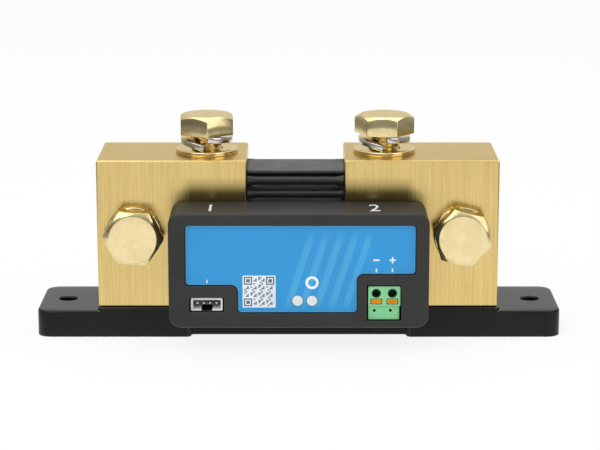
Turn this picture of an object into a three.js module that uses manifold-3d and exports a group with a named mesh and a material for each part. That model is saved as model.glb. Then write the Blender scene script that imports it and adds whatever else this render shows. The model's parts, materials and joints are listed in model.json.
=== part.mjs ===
// Battery monitor shunt: two brass terminal blocks joined by resistance strips on a moulded base,
// with a meter box on the front. Millimetres, +Z up; the meter box faces -Y.
// The origin is on the underside of the base, in the middle of the outer box.
import * as THREE from 'three';
import { mergeVertices } from 'three/addons/utils/BufferGeometryUtils.js';
import Module from 'manifold-3d';

const wasm = await Module();
wasm.setup();

// Driving dimensions
const DEPTH = 54; // overall, along Y
const FRONT = -DEPTH / 2;
const BACK = DEPTH / 2;
const CLEARANCE = 0.3; // between pieces that don't touch
const SIDES = 32; // facets of a large round
const SMALL_SIDES = 16; // facets of a small round

const BASE = {
  halfLength: 85,
  front: FRONT + 17.5,
  earDepth: 33,
  earTop: 8.7,
  seatTop: 9.7,
  seatHalfLength: 65.3,
  cornerRadius: 4.5,
  edge: 0.8,
  notchHalfLength: 35,
  notchDepth: 3.2,
  holeRadius: 3.1,
  holeFromEnd: 8.6,
};

const BLOCK = {
  front: BASE.front + 1.8,
  depth: 32.8,
  bottom: BASE.seatTop,
  top: 57.9,
  edge: 0.4,
  corner: 0.6,
  left: { outer: -65, inner: -16.9 },
  right: { outer: 64.4, inner: 14.8 },
};
const BLOCK_MID_Y = BLOCK.front + BLOCK.depth / 2;

const STRIP = {
  slot: 6, // how far a strip goes into each block
  pitch: 4.3,
  thickness: 2.7,
  front: BLOCK.front + 4,
  back: BLOCK.front + 26.5,
  lowest: 36.1,
  thick: 4,
  thinThickness: 1.3,
  thinBottom: 52.2,
  thinFront: BLOCK.front + 6,
  fillet: 2.6, // length of the solder at each end
  filletRise: 0.2, // how far the solder stands over and under the strip
  filletOverhang: 0.5, // and before and behind it
};

const BOLT = {
  acrossFlats: 17,
  headHeight: 6.35,
  chamferRadius: 8.1,
  shankRadius: 4.9,
  holeRadius: 5.25,
  fromInnerFace: 13.15, // top bolts
  fromOuterFace: 12, // front bolts
  topLength: 24.5,
  frontLength: 20,
  topHoleDepth: 20,
  frontHoleDepth: 21,
  frontZ: 34,
};
const FLAT_WASHER = { outer: 10.25, inner: 5.25, thickness: 1.3 };
const TOP_SPRING = { outer: 8.5, inner: 5.1, thickness: 1.9, rise: 2.95, split: 0.2 };
const FRONT_SPRING = { outer: 9.05, inner: 5.1, thickness: 2.2, rise: 0, split: 0.16 };
// The low end takes this share of a spring washer's rise, and a higher power bends both ends more sharply.
const SPRING_BEND = { lowShare: 0.7, power: 8 };
const REST_GAP = 0.05; // between a bolt head and the washer under it

const BASE_SCREW = {
  head: 4.6,
  headHeight: 3.4,
  sunk: 0.6, // head's face above the underside of the base
  socket: 1.9,
  socketDepth: 2,
  shank: 2.5,
  engaged: 8,
  inset: 8.5,
};

const SHELL = {
  halfLength: 41.1,
  front: FRONT,
  back: BLOCK.front - 0.5,
  bottom: 7.7,
  top: 44.7,
  cornerRadius: 4,
  edge: 1,
  wall: 1.8,
  frontWall: 2.9,
};
const LABEL = {
  left: -35.8,
  right: 36.9,
  top: 40.9,
  lowLeft: 21.4, // lower edge over the data socket
  lowMiddle: 12.5,
  lowRight: 25, // lower edge over the wire terminal
  middleLeft: -19.35,
  middleRight: 18.5,
  recess: 1.5,
  thickness: 0.3,
  margin: 0.25,
  corner: 1.2,
  inside: 2,
};
const SOCKET = {
  x: -29.05,
  z: 15.35,
  width: 10,
  height: 4.1,
  setBack: 0.8, // its front behind the front of the box
  wall: 0.6,
  floor: 3,
  window: 0.5,
  pitch: 2,
  notch: 3.5,
  notchFloor: 5,
};
const TERMINAL = {
  x: 27,
  width: 10.25,
  bottom: 10.4,
  top: 21.3,
  stepZ: 14.8,
  pitch: 5.08,
  wireZ: 19,
  wireRadius: 1.35,
  leverZ: 16.4,
  leverWidth: 3.3,
  leverHeight: 1.5,
  leverLength: 4.6,
  testZ: 13.4,
  testRadius: 0.55,
  testShift: -0.6, // from the middle of its pole
  setBack: 0.35, // its front behind the front of the box
  step: 0.35, // its lower part behind and beside the upper one
  wireDepth: 4,
  chamberHalf: 1.95,
  chamberStart: 3.2,
  wall: 0.9,
  headerLength: 3.5,
};
const WINDOWS = { x: 1.9, z: 16.4, pitch: 4.6, radius: 1.7 };
const BOARD = { thickness: 1.6, back: SHELL.back - 3.8, margin: 0.8 };
const BOARD_FRONT = BOARD.back - BOARD.thickness;
const COVER = { thickness: 2, corner: 1.6 };
const HOOK = { x: 22, halfWidth: 2.5, thickness: 1.2, behindBoard: 0.5, noseLength: 1, noseHeight: 0.5 };
const SENSE = {
  x: 30,
  z: 38,
  post: 3,
  hole: 1.8,
  shank: 1.45,
  head: 2.75,
  headHeight: 1.8,
  slotHalf: 0.4,
  slotDepth: 0.7,
  engaged: 6,
};

// Chips on the front of the board: how far each stands off it, and what it looks like.
const CHIPS = {
  processor_chip: { across: [-14, -6], up: [26, 34], height: 1.2, finish: 'chipBlack' },
  current_amplifier: { across: [-2, 3], up: [34, 38], height: 1.4, finish: 'chipBlack' },
  power_regulator: { across: [12, 18], up: [14, 19], height: 2.2, finish: 'chipBlack' },
  radio_module: { across: [5, 23], up: [25, 39], height: 0.8, finish: 'boardGreen' },
};
const SHIELD = { across: [6, 18], up: [26, 38], height: 2, wall: 0.4 };

const finishes = {
  brass: { color: 0xd0b878, roughness: 0.35, metalness: 1 },
  zincPlate: { color: 0xd9d2bd, roughness: 0.3, metalness: 1 },
  coatedStrip: { color: 0x17171a, roughness: 0.3, metalness: 0 },
  blackPlastic: { color: 0x232321, roughness: 0.5, metalness: 0 },
  charcoalPlastic: { color: 0x3c3b38, roughness: 0.42, metalness: 0 },
  label: { color: 0x4ca0de, roughness: 0.4, metalness: 0 },
  greenPlastic: { color: 0x7fd39a, roughness: 0.4, metalness: 0 },
  orangePlastic: { color: 0xf0951a, roughness: 0.4, metalness: 0 },
  palePlastic: { color: 0xd8d6cc, roughness: 0.5, metalness: 0 },
  clearPlastic: { color: 0xf2f2ee, roughness: 0.2, metalness: 0 },
  boardGreen: { color: 0x1e5b3a, roughness: 0.45, metalness: 0 },
  chipBlack: { color: 0x1b1b1d, roughness: 0.55, metalness: 0 },
  steel: { color: 0xb9bcc0, roughness: 0.35, metalness: 1 },
};

const model = new THREE.Group();

// Solids

function solidOf(geometry) {
  geometry.deleteAttribute('normal');
  geometry.deleteAttribute('uv');
  const merged = mergeVertices(geometry, 1e-4);
  const corners = merged.index.array;
  const kept = [];
  for (let i = 0; i < corners.length; i += 3) {
    const [a, b, c] = corners.slice(i, i + 3);
    if (a !== b && b !== c && c !== a) kept.push(a, b, c);
  }
  const mesh = new wasm.Mesh({
    numProp: 3,
    vertProperties: merged.attributes.position.array,
    triVerts: Uint32Array.from(kept),
  });
  return new wasm.Manifold(mesh);
}

function geometryOf(solid) {
  const mesh = solid.getMesh();
  const geometry = new THREE.BufferGeometry();
  geometry.setAttribute('position', new THREE.BufferAttribute(mesh.vertProperties, 3));
  geometry.setIndex(new THREE.BufferAttribute(mesh.triVerts, 1));
  return geometry;
}

function box([x0, x1], [y0, y1], [z0, z1]) {
  const geometry = new THREE.BoxGeometry(x1 - x0, y1 - y0, z1 - z0);
  geometry.translate((x0 + x1) / 2, (y0 + y1) / 2, (z0 + z1) / 2);
  return solidOf(geometry);
}

// A solid turned about Z from a profile of [radius, height] points that starts and ends on the axis.
function turned(profile, sides = SIDES) {
  const points = profile.map(([radius, height]) => new THREE.Vector2(radius, height));
  const geometry = new THREE.LatheGeometry(points, sides);
  geometry.rotateX(Math.PI / 2);
  return solidOf(geometry);
}

function cylinder(radius, [z0, z1], sides = SIDES) {
  return turned([[0, z0], [radius, z0], [radius, z1], [0, z1]], sides);
}

// A round along Y through x, z.
function roundAlongY(radius, x, z, [y0, y1], sides = SMALL_SIDES) {
  const geometry = new THREE.CylinderGeometry(radius, radius, y1 - y0, sides);
  geometry.translate(x, (y0 + y1) / 2, z);
  return solidOf(geometry);
}

// A shape drawn in X and Y, raised from z0 to z1.
function raised(shape, [z0, z1], curveSegments = 6) {
  const geometry = new THREE.ExtrudeGeometry(shape, { depth: z1 - z0, bevelEnabled: false, curveSegments });
  geometry.translate(0, 0, z0);
  return solidOf(geometry);
}

// A shape drawn in X and Z as seen from the front, between two Y planes, with both ends rounded by edge.
function standing(shape, [y0, y1], edge = 0, curveSegments = 4) {
  const geometry = new THREE.ExtrudeGeometry(shape, {
    depth: y1 - y0 - 2 * edge,
    bevelEnabled: edge > 0,
    bevelThickness: edge,
    bevelSize: edge,
    bevelOffset: -edge,
    bevelSegments: 2,
    curveSegments,
  });
  geometry.rotateX(Math.PI / 2);
  geometry.translate(0, y1 - edge, 0);
  return solidOf(geometry);
}

// A shape drawn in Y and Z, running along X.
function acrossX(shape, [x0, x1]) {
  const along = { depth: x1 - x0, bevelEnabled: false, curveSegments: 2 };
  const geometry = new THREE.ExtrudeGeometry(shape, along);
  geometry.applyMatrix4(new THREE.Matrix4().set(0, 0, 1, x0, 1, 0, 0, 0, 0, 1, 0, 0, 0, 0, 0, 1));
  return solidOf(geometry);
}

// A span of twice a half width about its middle.
function about(middle, half) {
  return [middle - half, middle + half];
}

function roundedRectangle([x0, x1], [y0, y1], radius) {
  const shape = new THREE.Shape();
  shape.moveTo(x0 + radius, y0);
  shape.lineTo(x1 - radius, y0);
  shape.absarc(x1 - radius, y0 + radius, radius, -Math.PI / 2, 0);
  shape.lineTo(x1, y1 - radius);
  shape.absarc(x1 - radius, y1 - radius, radius, 0, Math.PI / 2);
  shape.lineTo(x0 + radius, y1);
  shape.absarc(x0 + radius, y1 - radius, radius, Math.PI / 2, Math.PI);
  shape.lineTo(x0, y0 + radius);
  shape.absarc(x0 + radius, y0 + radius, radius, Math.PI, 1.5 * Math.PI);
  return shape;
}

function place(name, solid, finish, parent = model) {
  const material = new THREE.MeshStandardMaterial(finishes[finish]);
  const mesh = new THREE.Mesh(geometryOf(solid), material);
  mesh.name = name;
  parent.add(mesh);
  return mesh;
}

// Base

const blockSides = { left: BLOCK.left, right: BLOCK.right };

function baseScrewPlaces() {
  const places = [];
  for (const { outer, inner } of Object.values(blockSides)) {
    const outward = Math.sign(outer);
    places.push(outer - outward * BASE_SCREW.inset, inner + outward * BASE_SCREW.inset);
  }
  return places;
}

function earOutline() {
  return roundedRectangle(
    [-BASE.halfLength, BASE.halfLength],
    [BASE.front, BASE.front + BASE.earDepth],
    BASE.cornerRadius,
  );
}

// A plate whose upper edge is bevelled.
function bevelledPlate(shape, [z0, z1], edge) {
  const geometry = new THREE.ExtrudeGeometry(shape, {
    depth: z1 - z0,
    bevelEnabled: true,
    bevelThickness: edge,
    bevelSize: edge,
    bevelOffset: -edge,
    bevelSegments: 1,
    curveSegments: 4,
  });
  geometry.translate(0, 0, z0 - edge);
  const wide = [-BASE.halfLength - 1, BASE.halfLength + 1];
  return solidOf(geometry).intersect(box(wide, [FRONT, BACK + 1], [z0, z1 + 1]));
}

function mountingBase() {
  const seat = roundedRectangle([-BASE.seatHalfLength, BASE.seatHalfLength], [BASE.front, BACK], 1.5);
  let solid = bevelledPlate(earOutline(), [0, BASE.earTop], BASE.edge);
  solid = solid.add(bevelledPlate(seat, [0, BASE.seatTop], BASE.edge));
  const notch = new THREE.Shape();
  const lip = 1;
  notch.moveTo(-BASE.notchHalfLength - lip, BASE.front - lip);
  notch.lineTo(BASE.notchHalfLength + lip, BASE.front - lip);
  notch.lineTo(BASE.notchHalfLength + lip, BASE.front);
  notch.lineTo(BASE.notchHalfLength, BASE.front + lip);
  notch.lineTo(BASE.notchHalfLength, BASE.front + BASE.notchDepth);
  notch.lineTo(-BASE.notchHalfLength, BASE.front + BASE.notchDepth);
  notch.lineTo(-BASE.notchHalfLength, BASE.front + lip);
  notch.lineTo(-BASE.notchHalfLength - lip, BASE.front);
  solid = solid.subtract(raised(notch, [-1, BASE.seatTop + 1]));
  const earMid = BASE.front + BASE.earDepth / 2;
  for (const end of [-1, 1]) {
    const x = end * (BASE.halfLength - BASE.holeFromEnd);
    const hole = cylinder(BASE.holeRadius, [-1, BASE.seatTop + 1]);
    solid = solid.subtract(hole.translate([x, earMid, 0]));
  }
  const headRoom = [-1, BASE_SCREW.headHeight + BASE_SCREW.sunk];
  for (const x of baseScrewPlaces()) {
    const head = cylinder(BASE_SCREW.head + CLEARANCE, headRoom, SMALL_SIDES);
    const hole = head.add(cylinder(BASE_SCREW.shank + CLEARANCE, [-1, BASE.seatTop + 1], SMALL_SIDES));
    solid = solid.subtract(hole.translate([x, BLOCK_MID_Y, 0]));
  }
  return solid.subtract(coring());
}

// Pockets moulded into the underside, in two rows between the screws.
function coring() {
  const rib = 2.2;
  const depth = 5.5;
  const rows = [[BASE.front + 6, BLOCK_MID_Y - 7], [BLOCK_MID_Y + 7, BACK - 6]];
  const columns = 6;
  const start = -BASE.seatHalfLength + 4;
  const width = (2 * -start) / columns;
  const pockets = [];
  for (const row of rows) {
    for (let i = 0; i < columns; i += 1) {
      const left = start + i * width;
      pockets.push(box([left + rib / 2, left + width - rib / 2], row, [-1, depth]));
    }
  }
  return pockets.reduce((all, pocket) => all.add(pocket));
}

// M5 pan-head screw, point up, with its head's underside at z = 0.
function baseScrew() {
  const { head, headHeight, sunk, socket, socketDepth, shank } = BASE_SCREW;
  const chamfer = 1;
  const length = BASE.seatTop - headHeight - sunk + BASE_SCREW.engaged;
  const profile = [
    [0, -headHeight],
    [head - chamfer, -headHeight],
    [head, chamfer - headHeight],
    [head, 0],
    [shank, 0],
    [shank, length - chamfer],
    [shank - chamfer, length],
    [0, length],
  ];
  const recess = cylinder(socket, [-headHeight - 1, socketDepth - headHeight], 6);
  return turned(profile, SMALL_SIDES).subtract(recess);
}

function addBase() {
  place('mounting_base', mountingBase(), 'blackPlastic');
  baseScrewPlaces().forEach((x, i) => {
    const screw = place(`base_screw_${i + 1}`, baseScrew(), 'steel');
    screw.position.set(x, BLOCK_MID_Y, BASE_SCREW.headHeight + BASE_SCREW.sunk);
  });
}

// Blocks and strips

function stripLevels() {
  const levels = [{ z: STRIP.thinBottom, thickness: STRIP.thinThickness, front: STRIP.thinFront }];
  for (let i = STRIP.thick - 1; i >= 0; i -= 1) {
    levels.push({ z: STRIP.lowest + i * STRIP.pitch, thickness: STRIP.thickness, front: STRIP.front });
  }
  return levels;
}

function topBoltX({ outer, inner }) {
  return inner + Math.sign(outer) * BOLT.fromInnerFace;
}

function frontBoltX({ outer }) {
  return outer - Math.sign(outer) * BOLT.fromOuterFace;
}

function senseX({ outer }) {
  return Math.sign(outer) * SENSE.x;
}

function terminalBlock(side) {
  const { outer, inner } = side;
  const outward = Math.sign(outer);
  const across = [Math.min(outer, inner), Math.max(outer, inner)];
  const face = roundedRectangle(across, [BLOCK.bottom, BLOCK.top], BLOCK.corner);
  let solid = standing(face, [BLOCK.front, BLOCK.front + BLOCK.depth], BLOCK.edge, 1);
  const topHole = cylinder(BOLT.holeRadius, [BLOCK.top - BOLT.topHoleDepth, BLOCK.top + 1]);
  solid = solid.subtract(topHole.translate([topBoltX(side), BLOCK_MID_Y, 0]));
  const frontSpan = [BLOCK.front - 1, BLOCK.front + BOLT.frontHoleDepth];
  solid = solid.subtract(roundAlongY(BOLT.holeRadius, frontBoltX(side), BOLT.frontZ, frontSpan, SIDES));
  const spare = 1.5; // left beyond the point of a screw
  const senseSpan = [BLOCK.front - 1, BLOCK.front + SENSE.engaged + spare];
  solid = solid.subtract(roundAlongY(SENSE.hole, senseX(side), SENSE.z, senseSpan));
  for (const x of [outer - outward * BASE_SCREW.inset, inner + outward * BASE_SCREW.inset]) {
    const depth = BASE_SCREW.engaged + spare;
    const hole = cylinder(BASE_SCREW.shank + CLEARANCE, [0, BLOCK.bottom + depth], SMALL_SIDES);
    solid = solid.subtract(hole.translate([x, BLOCK_MID_Y, 0]));
  }
  for (const { z, thickness, front } of stripLevels()) {
    const slotX = [inner - outward, inner + outward * (STRIP.slot + CLEARANCE)].sort((a, b) => a - b);
    const slotY = [front - CLEARANCE / 2, STRIP.back + CLEARANCE / 2];
    const slotZ = [z - CLEARANCE / 2, z + thickness + CLEARANCE / 2];
    solid = solid.subtract(box(slotX, slotY, slotZ));
  }
  return solid;
}

// A strip with round long edges, its ends in the blocks, and a band of solder beside each block.
function resistorStrip({ z, thickness, front }) {
  const ends = [BLOCK.left.inner - STRIP.slot, BLOCK.right.inner + STRIP.slot];
  const strip = stripBody(ends, [front, STRIP.back], [z, z + thickness]);
  const bandY = [front - STRIP.filletOverhang, STRIP.back + STRIP.filletOverhang];
  const bandZ = [z - STRIP.filletRise, z + thickness + STRIP.filletRise];
  const leftBand = stripBody([BLOCK.left.inner, BLOCK.left.inner + STRIP.fillet], bandY, bandZ);
  const rightBand = stripBody([BLOCK.right.inner - STRIP.fillet, BLOCK.right.inner], bandY, bandZ);
  return strip.add(leftBand).add(rightBand);
}

function stripBody(across, [y0, y1], [z0, z1]) {
  return acrossX(roundedRectangle([y0, y1], [z0, z1], (z1 - z0) / 2 - 0.01), across);
}

function addBlocks() {
  for (const [side, size] of Object.entries(blockSides)) {
    place(`terminal_block_${side}`, terminalBlock(size), 'brass');
  }
  stripLevels().forEach((level, i) => {
    place(`resistor_strip_${i + 1}`, resistorStrip(level), 'coatedStrip');
  });
}

// Bolts and washers

// Hexagon bolt with the underside of its head at z = 0 and its shank down.
function hexBolt(length) {
  const { acrossFlats, headHeight, chamferRadius, shankRadius } = BOLT;
  const cornerRadius = acrossFlats / Math.sqrt(3);
  const wide = cornerRadius + 1;
  const shoulder = headHeight - (wide - chamferRadius) * Math.tan(Math.PI / 6);
  const point = 1;
  const inHead = 0.5;
  const prism = cylinder(cornerRadius, [0, headHeight], 6);
  const chamfer = [[wide, shoulder], [chamferRadius, headHeight]];
  const barrel = turned([[0, 0], [wide, 0], ...chamfer, [0, headHeight]]);
  const shank = turned([
    [0, -length],
    [shankRadius - point, -length],
    [shankRadius, point - length],
    [shankRadius, inHead],
    [0, inHead],
  ]);
  return prism.intersect(barrel).add(shank);
}

function flatWasher() {
  const { outer, inner, thickness } = FLAT_WASHER;
  return cylinder(outer, [0, thickness]).subtract(cylinder(inner, [-1, thickness + 1]));
}

// How much of its rise a spring washer has reached at a share of its turn: both ends bend off the ring.
function springLift(share) {
  const { lowShare, power } = SPRING_BEND;
  return lowShare * (1 - (1 - share) ** power) + (1 - lowShare) * share ** power;
}

// Split ring, bent from a straight bar into one turn that opens towards -Y, low end first.
function springWasher({ outer, inner, thickness, rise, split }) {
  const turn = 2 * Math.PI - split;
  const bar = new THREE.BoxGeometry(outer - inner, thickness, turn, 1, 1, SIDES);
  const places = bar.attributes.position;
  for (let i = 0; i < places.count; i += 1) {
    const along = places.getZ(i) + turn / 2;
    const angle = -Math.PI / 2 - split / 2 - along;
    const radius = (outer + inner) / 2 + places.getX(i);
    const height = places.getY(i) + thickness / 2 + rise * springLift(along / turn);
    places.setXYZ(i, radius * Math.cos(angle), radius * Math.sin(angle), height);
  }
  return solidOf(bar);
}

function addTopBolt(side, size, turn) {
  const stack = new THREE.Group();
  stack.position.set(topBoltX(size), BLOCK_MID_Y, BLOCK.top);
  place(`top_flat_washer_${side}`, flatWasher(), 'brass', stack);
  const spring = place(`top_spring_washer_${side}`, springWasher(TOP_SPRING), 'zincPlate', stack);
  spring.position.z = FLAT_WASHER.thickness;
  const bolt = place(`top_bolt_${side}`, hexBolt(BOLT.topLength), 'brass', stack);
  bolt.position.z = FLAT_WASHER.thickness + TOP_SPRING.thickness + TOP_SPRING.rise + REST_GAP;
  bolt.rotation.z = THREE.MathUtils.degToRad(turn);
  model.add(stack);
}

function addFrontBolt(side, size, turn) {
  const stack = new THREE.Group();
  stack.position.set(frontBoltX(size), BLOCK.front, BOLT.frontZ);
  stack.rotation.x = Math.PI / 2;
  place(`front_spring_washer_${side}`, springWasher(FRONT_SPRING), 'brass', stack);
  const bolt = place(`front_bolt_${side}`, hexBolt(BOLT.frontLength), 'brass', stack);
  bolt.position.z = FRONT_SPRING.thickness + REST_GAP;
  bolt.rotation.z = THREE.MathUtils.degToRad(turn);
  model.add(stack);
}

function addBolts() {
  const topTurns = { left: 3, right: 23 };
  const frontTurns = { left: 26.5, right: 15.7 };
  for (const [side, size] of Object.entries(blockSides)) {
    addTopBolt(side, size, topTurns[side]);
    addFrontBolt(side, size, frontTurns[side]);
  }
}

// Meter box

function shellOutline(inset = 0) {
  const { halfLength, bottom, top, cornerRadius } = SHELL;
  const across = [-halfLength + inset, halfLength - inset];
  return roundedRectangle(across, [bottom + inset, top - inset], cornerRadius - inset * 0.8);
}

// Outline of the front sheet: one wide field with a lower step at the terminal, a middle and a left step.
function labelOutline(inset = 0) {
  const shape = new THREE.Shape();
  const left = LABEL.left + inset;
  const right = LABEL.right - inset;
  const top = LABEL.top - inset;
  const low = {
    left: LABEL.lowLeft + inset,
    middle: LABEL.lowMiddle + inset,
    right: LABEL.lowRight + inset,
  };
  const middle = [LABEL.middleLeft + inset, LABEL.middleRight - inset];
  const r = LABEL.corner;
  const q = LABEL.inside;
  const quarter = Math.PI / 2;
  shape.moveTo(left + r, low.left);
  shape.lineTo(middle[0] - q, low.left);
  shape.absarc(middle[0] - q, low.left - q, q, quarter, 0, true);
  shape.lineTo(middle[0], low.middle + r);
  shape.absarc(middle[0] + r, low.middle + r, r, 2 * quarter, 3 * quarter);
  shape.lineTo(middle[1] - r, low.middle);
  shape.absarc(middle[1] - r, low.middle + r, r, -quarter, 0);
  shape.lineTo(middle[1], low.right - q);
  shape.absarc(middle[1] + q, low.right - q, q, 2 * quarter, quarter, true);
  shape.lineTo(right - r, low.right);
  shape.absarc(right - r, low.right + r, r, -quarter, 0);
  shape.lineTo(right, top - r);
  shape.absarc(right - r, top - r, r, 0, quarter);
  shape.lineTo(left + r, top);
  shape.absarc(left + r, top - r, r, quarter, 2 * quarter);
  shape.lineTo(left, low.left + r);
  shape.absarc(left + r, low.left + r, r, 2 * quarter, 3 * quarter);
  return shape;
}

function windowPlaces() {
  return [WINDOWS.x - WINDOWS.pitch / 2, WINDOWS.x + WINDOWS.pitch / 2];
}

function socketWindow(grow) {
  const across = about(SOCKET.x, SOCKET.width / 2 + grow);
  const up = about(SOCKET.z, SOCKET.height / 2 + grow * 0.6);
  return roundedRectangle(across, up, 0.3);
}

function housingShell() {
  const { front, back, wall, frontWall, edge } = SHELL;
  const wide = [-SHELL.halfLength - 1, SHELL.halfLength + 1];
  const rearTrim = box(wide, [back, back + 2 * edge], [0, SHELL.top + 1]);
  let solid = standing(shellOutline(), [front, back + edge], edge).subtract(rearTrim);
  solid = solid.subtract(standing(shellOutline(wall), [front + frontWall, back + 1]));
  solid = solid.subtract(standing(labelOutline(), [front - 1, front + LABEL.recess]));
  for (const x of windowPlaces()) {
    const span = [front - 1, front + frontWall + 1];
    solid = solid.subtract(roundAlongY(WINDOWS.radius + 0.15, x, WINDOWS.z, span));
  }
  solid = solid.subtract(standing(socketWindow(SOCKET.window), [front - 1, front + frontWall + 1]));
  const across = about(TERMINAL.x, TERMINAL.width / 2 + 0.45);
  const window = roundedRectangle(across, [TERMINAL.bottom - 0.35, TERMINAL.top + 0.45], 0.3);
  solid = solid.subtract(standing(window, [front - 1, front + frontWall + 1]));
  // the lower rear edge is cut back to clear the base
  solid = solid.subtract(box(wide, [BASE.front - CLEARANCE, back + 1], [0, BASE.seatTop + CLEARANCE]));
  // a pocket in the top wall takes the nose of each hook
  const pocketHalf = HOOK.halfWidth + CLEARANCE;
  const pocketStart = BOARD.back + HOOK.behindBoard - CLEARANCE;
  const pocketEnd = BOARD.back + HOOK.behindBoard + HOOK.noseLength + CLEARANCE;
  const ceiling = SHELL.top - wall;
  const pocketUp = [ceiling - HOOK.noseHeight, ceiling + HOOK.noseHeight + CLEARANCE];
  for (const x of [-HOOK.x, HOOK.x]) {
    solid = solid.subtract(box(about(x, pocketHalf), [pocketStart, pocketEnd], pocketUp));
  }
  return solid;
}

// Inner rear wall of the box, with two hooks along its top and a hole round each sense post.
function backCover() {
  const back = SHELL.back - 0.2;
  const front = back - COVER.thickness;
  const inset = SHELL.wall + CLEARANCE;
  const across = [-SHELL.halfLength + inset, SHELL.halfLength - inset];
  const up = [BASE.seatTop + CLEARANCE, SHELL.top - inset];
  let solid = standing(roundedRectangle(across, up, COVER.corner), [front, back]);
  const start = BOARD.back + HOOK.behindBoard;
  const ceiling = SHELL.top - SHELL.wall;
  const under = up[1] - HOOK.thickness;
  for (const x of [-HOOK.x, HOOK.x]) {
    const hookX = about(x, HOOK.halfWidth);
    solid = solid.add(box(hookX, [start, front + 0.5], [under, up[1]]));
    solid = solid.add(box(hookX, [start, start + HOOK.noseLength], [under, ceiling + HOOK.noseHeight]));
  }
  for (const size of Object.values(blockSides)) {
    const hole = roundAlongY(SENSE.post + CLEARANCE, senseX(size), SENSE.z, [front - 1, back + 1]);
    solid = solid.subtract(hole);
  }
  return solid;
}

function frontLabel() {
  const back = SHELL.front + LABEL.recess;
  let solid = standing(labelOutline(LABEL.margin), [back - LABEL.thickness, back]);
  for (const x of windowPlaces()) {
    solid = solid.subtract(roundAlongY(WINDOWS.radius + 0.15, x, WINDOWS.z, [SHELL.front, back + 1]));
  }
  return solid;
}

function addBox() {
  place('housing_shell', housingShell(), 'charcoalPlastic');
  place('back_cover', backCover(), 'charcoalPlastic');
  place('front_label', frontLabel(), 'label');
  windowPlaces().forEach((x, i) => {
    const span = [SHELL.front + LABEL.recess - LABEL.thickness, BOARD_FRONT - 1.2];
    place(`light_guide_${i + 1}`, roundAlongY(WINDOWS.radius, x, WINDOWS.z, span), 'clearPlastic');
    const lamp = box([x - 1, x + 1], [BOARD_FRONT - 0.9, BOARD_FRONT], [WINDOWS.z - 0.6, WINDOWS.z + 0.6]);
    place(`status_led_${i + 1}`, lamp, 'clearPlastic');
  });
}

// Circuit board and what it carries

const pinPlaces = [0, 1, 2, 3].map((i) => SOCKET.x + (i - 1.5) * SOCKET.pitch);
const polePlaces = [-0.5, 0.5].map((i) => TERMINAL.x + i * TERMINAL.pitch);
const PIN_HALF = 0.25;
const BLADE_HALF = 0.5;

function circuitBoard() {
  const inset = SHELL.wall + BOARD.margin;
  const outline = roundedRectangle(
    [-SHELL.halfLength + inset, SHELL.halfLength - inset],
    [SHELL.bottom + inset, SHELL.top - inset - 1.2],
    2,
  );
  let solid = standing(outline, [BOARD_FRONT, BOARD.back]);
  const through = [BOARD_FRONT - 1, BOARD.back + 1];
  for (const size of Object.values(blockSides)) {
    solid = solid.subtract(roundAlongY(SENSE.hole, senseX(size), SENSE.z, through));
  }
  for (const x of pinPlaces) {
    const half = PIN_HALF + CLEARANCE;
    solid = solid.subtract(box(about(x, half), through, about(SOCKET.z, half)));
  }
  for (const x of polePlaces) {
    const half = BLADE_HALF + CLEARANCE;
    solid = solid.subtract(box(about(x, half), through, about(TERMINAL.testZ, half)));
  }
  return solid;
}

// The radio's metal can: a lid with four walls, open towards its small board.
function radioShield() {
  const { across, up, height, wall } = SHIELD;
  const back = BOARD_FRONT - CHIPS.radio_module.height;
  const inner = [[across[0] + wall, across[1] - wall], [back - height + wall, back + 1]];
  const can = box(across, [back - height, back], up);
  return can.subtract(box(...inner, [up[0] + wall, up[1] - wall]));
}

function sensePost() {
  const post = roundAlongY(SENSE.post, 0, 0, [BOARD.back, BLOCK.front]);
  return post.subtract(roundAlongY(SENSE.hole, 0, 0, [BOARD.back - 1, BLOCK.front + 1]));
}

// M3 screw along Y, with the underside of its head on the board.
function senseScrew() {
  const { head, headHeight, shank, engaged, slotHalf, slotDepth } = SENSE;
  const face = BOARD_FRONT - headHeight;
  const shankSpan = [BOARD_FRONT - 0.5, BLOCK.front + engaged];
  const slot = box(about(0, head), [face - 1, face + slotDepth], about(0, slotHalf));
  const screw = roundAlongY(head, 0, 0, [face, BOARD_FRONT]).add(roundAlongY(shank, 0, 0, shankSpan));
  return screw.subtract(slot);
}

// Four-way socket, open to the front, with a notch in its lower wall for the plug's latch.
function dataSocket() {
  const { wall, height, width, notch } = SOCKET;
  const front = SHELL.front + SOCKET.setBack;
  const floor = BOARD_FRONT - SOCKET.floor;
  const across = about(SOCKET.x, width / 2 - wall);
  const inside = roundedRectangle(across, about(SOCKET.z, height / 2 - wall), 0.2);
  const bottom = SOCKET.z - height / 2;
  const latch = [[front - 1, BOARD_FRONT - SOCKET.notchFloor], [bottom - 1, bottom + wall + 0.1]];
  let solid = standing(socketWindow(0), [front, BOARD_FRONT]);
  solid = solid.subtract(standing(inside, [front - 1, floor]));
  solid = solid.subtract(box(about(SOCKET.x, notch / 2), ...latch));
  for (const x of pinPlaces) {
    const half = PIN_HALF + CLEARANCE;
    solid = solid.subtract(box(about(x, half), [floor - 1, BOARD_FRONT + 1], about(SOCKET.z, half)));
  }
  return solid;
}

function pin(half, span) {
  return box(about(0, half), span, about(0, half));
}

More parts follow.
